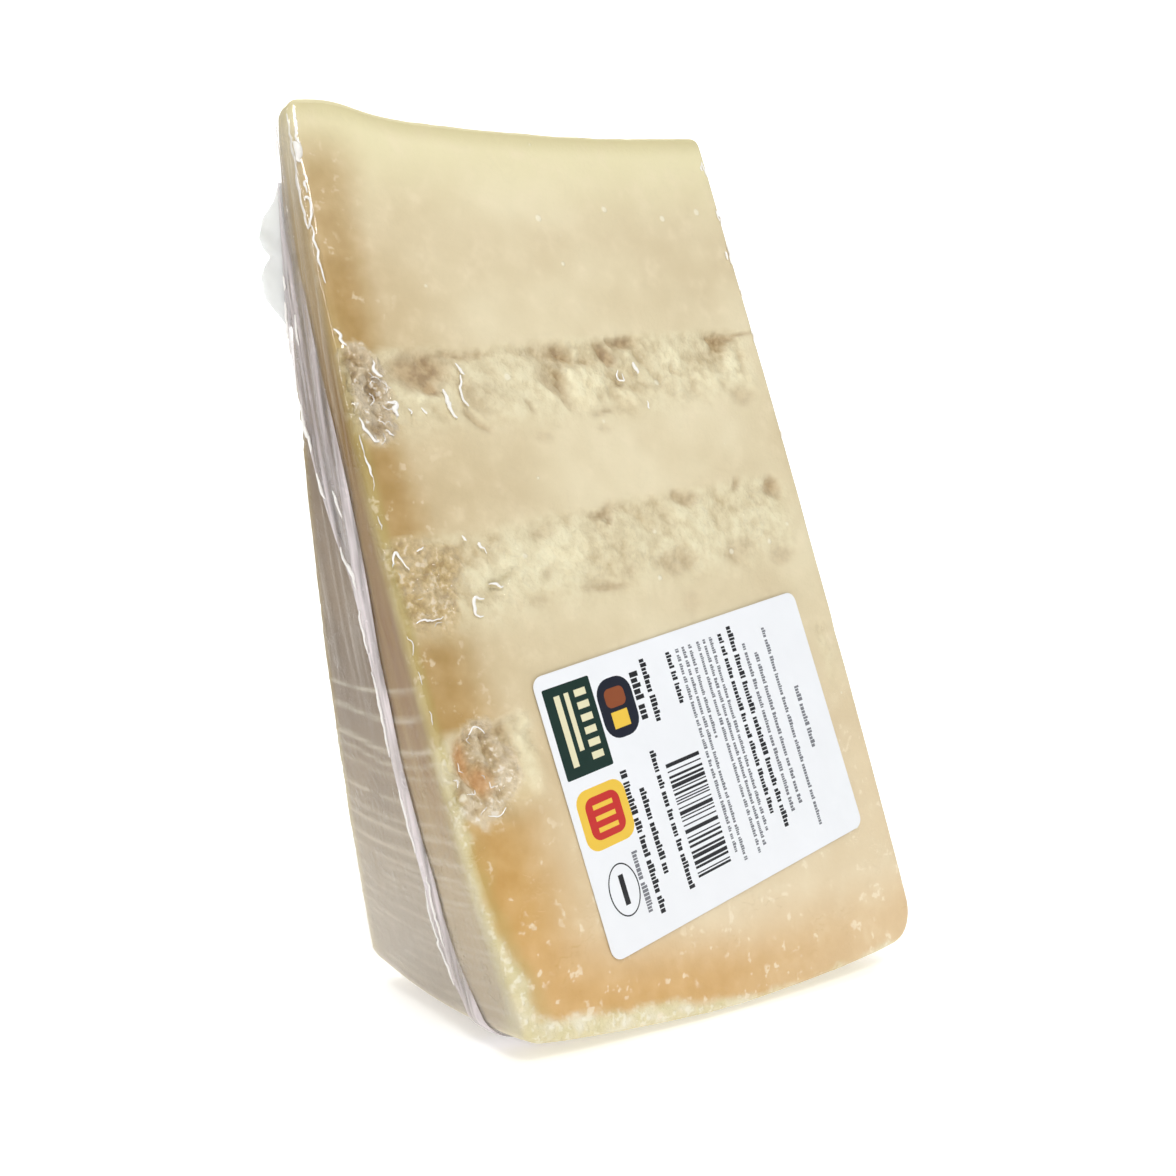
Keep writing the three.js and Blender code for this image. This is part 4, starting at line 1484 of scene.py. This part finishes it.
def film_material(name, groups, size, depth, tint):
    """Clear film: a see-through sheet with sharp gloss, milky where it is gathered."""
    material, tree, output = new_material(name)
    place = object_place(tree)
    crease = use_group(tree, groups["crease"], Place=place, Size=size, Depth=depth,
                       Creased=attribute(tree, "creased"))
    normal = crease.outputs["Normal"]
    # Milky along the fine crease lines: partly painted highlight on the creases
    haze = new_node(tree, "ShaderNodeMath", {"operation": "MULTIPLY_ADD", "use_clamp": True},
                    n0=crease.outputs["Line"], n1=0.35, n2=attribute(tree, "haze")).outputs[0]
    clear = new_node(tree, "ShaderNodeBsdfTransparent", Color=(1, 1, 1, 1))
    milky = new_node(tree, "ShaderNodeBsdfPrincipled", Base_Color=tint, Roughness=0.3, Normal=normal)
    gloss = new_node(tree, "ShaderNodeBsdfPrincipled", Base_Color=(1, 1, 1, 1), Roughness=0.08, Metallic=1.0,
                     Normal=normal)
    veil = new_node(tree, "ShaderNodeMixShader", n0=haze, n1=clear.outputs[0], n2=milky.outputs[0])
    facing = new_node(tree, "ShaderNodeLayerWeight", Blend=0.5, Normal=normal).outputs["Facing"]
    edge_on = math_node(tree, "POWER", facing, 6.0)
    gleam = new_node(tree, "ShaderNodeMath", {"operation": "MULTIPLY_ADD", "use_clamp": True},
                     n0=edge_on, n1=0.4, n2=0.045).outputs[0]
    whole = new_node(tree, "ShaderNodeMixShader", n0=gleam, n1=veil.outputs[0], n2=gloss.outputs[0])
    tree.links.new(whole.outputs[0], output.inputs["Surface"])
    return material


def paper_material(groups, name, colour):
    """Coated paper or print on it, very slightly uneven."""
    material, tree, output = new_material(name)
    place = object_place(tree)
    blotch = clouds(tree, groups, place, 0.012, 1.0)
    darker = tuple(c * 0.94 for c in colour[:3]) + (1.0,)
    base = mix_colour(tree, blotch, darker, colour)
    tooth = use_group(tree, groups["tooth"], Place=place, Size=0.009, Depth=0.00025, Height=0.0)
    rough = ramp(tree, blotch, ((0.0, grey(PAPER_ROUGHNESS)), (1.0, grey(PAPER_ROUGHNESS + 0.08))))
    shader = new_node(tree, "ShaderNodeBsdfPrincipled", Base_Color=base, Roughness=rough,
                      Normal=tooth.outputs["Normal"])
    tree.links.new(shader.outputs[0], output.inputs["Surface"])
    return material


def floor_material(groups):
    """Near white floor that glows a little, so that it comes out white."""
    material, tree, output = new_material("pale_floor")
    blotch = clouds(tree, groups, object_place(tree), 0.3, 0.6)
    base = mix_colour(tree, blotch, (0.83, 0.83, 0.82, 1), (0.87, 0.87, 0.86, 1))
    shader = new_node(tree, "ShaderNodeBsdfPrincipled", Base_Color=base, Roughness=0.7,
                      Emission_Color=(1, 1, 1, 1), Emission_Strength=FLOOR_GLOW)
    tree.links.new(shader.outputs[0], output.inputs["Surface"])
    return material


# Stage

def make_floor(material):
    """A pale floor that curves up behind the wedge."""
    sweep = [(FLOOR_FRONT, 0.0), (FLOOR_BACK, 0.0)]
    for k in range(1, BEND_STEPS + 1):
        turn = math.radians(90 * k / BEND_STEPS)
        sweep.append((FLOOR_BACK + FLOOR_BEND * math.sin(turn), FLOOR_BEND * (1 - math.cos(turn))))
    sweep.append((FLOOR_BACK + FLOOR_BEND, FLOOR_TOP))
    forward = Vector((math.sin(CAMERA_HEADING), math.cos(CAMERA_HEADING), 0))
    side = Vector((forward.y, -forward.x, 0))
    points = []
    for out, up in sweep:
        for across in (-FLOOR_HALF_WIDTH, FLOOR_HALF_WIDTH):
            points.append((forward * out + side * across + Vector((0, 0, up))) / MM)
    quads = [[2 * k, 2 * k + 1, 2 * k + 3, 2 * k + 2] for k in range(len(sweep) - 1)]
    return make_mesh("floor", np.array(points), quads, material)


def area_light(name, place, target, size, power):
    """A white soft box at a place, turned to its target."""
    data = bpy.data.lights.new(name, "AREA")
    data.shape = "RECTANGLE"
    data.size, data.size_y = size
    data.energy = power
    light = bpy.data.objects.new(name, data)
    light.location = place
    light.rotation_euler = (Vector(target) - Vector(place)).to_track_quat("-Z", "Y").to_euler()
    bpy.context.scene.collection.objects.link(light)


def light_the_studio():
    """Four soft boxes and a faint glow all round."""
    for box in SOFT_BOXES:
        area_light(*box)
    world = bpy.data.worlds.new("studio")
    world.use_nodes = True
    world.node_tree.nodes["Background"].inputs[0].default_value = (0.97, 0.98, 1.0, 1)
    world.node_tree.nodes["Background"].inputs[1].default_value = STUDIO_GLOW
    bpy.context.scene.world = world
    bpy.context.scene.view_settings.view_transform = "Standard"


def place_camera():
    """The camera of the photograph, as fitted to the wedge's edges."""
    data = bpy.data.cameras.new("camera")
    data.sensor_width = CAMERA_SENSOR
    data.lens = CAMERA_LENS
    data.clip_start = 0.01
    camera = bpy.data.objects.new("camera", data)
    camera.location = CAMERA_PLACE * MM
    camera.rotation_euler = (math.pi / 2 + CAMERA_TILT, 0, -CAMERA_HEADING)
    bpy.context.scene.collection.objects.link(camera)
    bpy.context.scene.camera = camera


def main():
    """The wedge and its wrapping, the floor, the light and the camera."""
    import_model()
    groups = {
        "blotch": blotch_group(),
        "speck": speck_group(),
        "tooth": tooth_group(),
        "crease": crease_group(),
    }

    films = {name: film_material(name, groups, size, depth, srgb(*tint))
             for name, (size, depth, tint) in FILM_LOOKS.items()}
    cheese = make_cheese(cheese_material(groups))
    film = make_film(films["clear_film"])
    seam = make_seam(films["gathered_film"])
    flap = make_flap(films["loose_film"])
    strokes = make_strokes(films["glint_fold_film"])
    label = make_label([paper_material(groups, name, srgb(*colour)) for name, colour in INKS.values()])

    for piece in (cheese, film, seam, flap, strokes, label):
        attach(piece, "root")
    for piece in (cheese, film, seam, flap, strokes):
        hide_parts("wrapped_wedge")
    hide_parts("label")

    make_floor(floor_material(groups))
    light_the_studio()
    place_camera()


main()
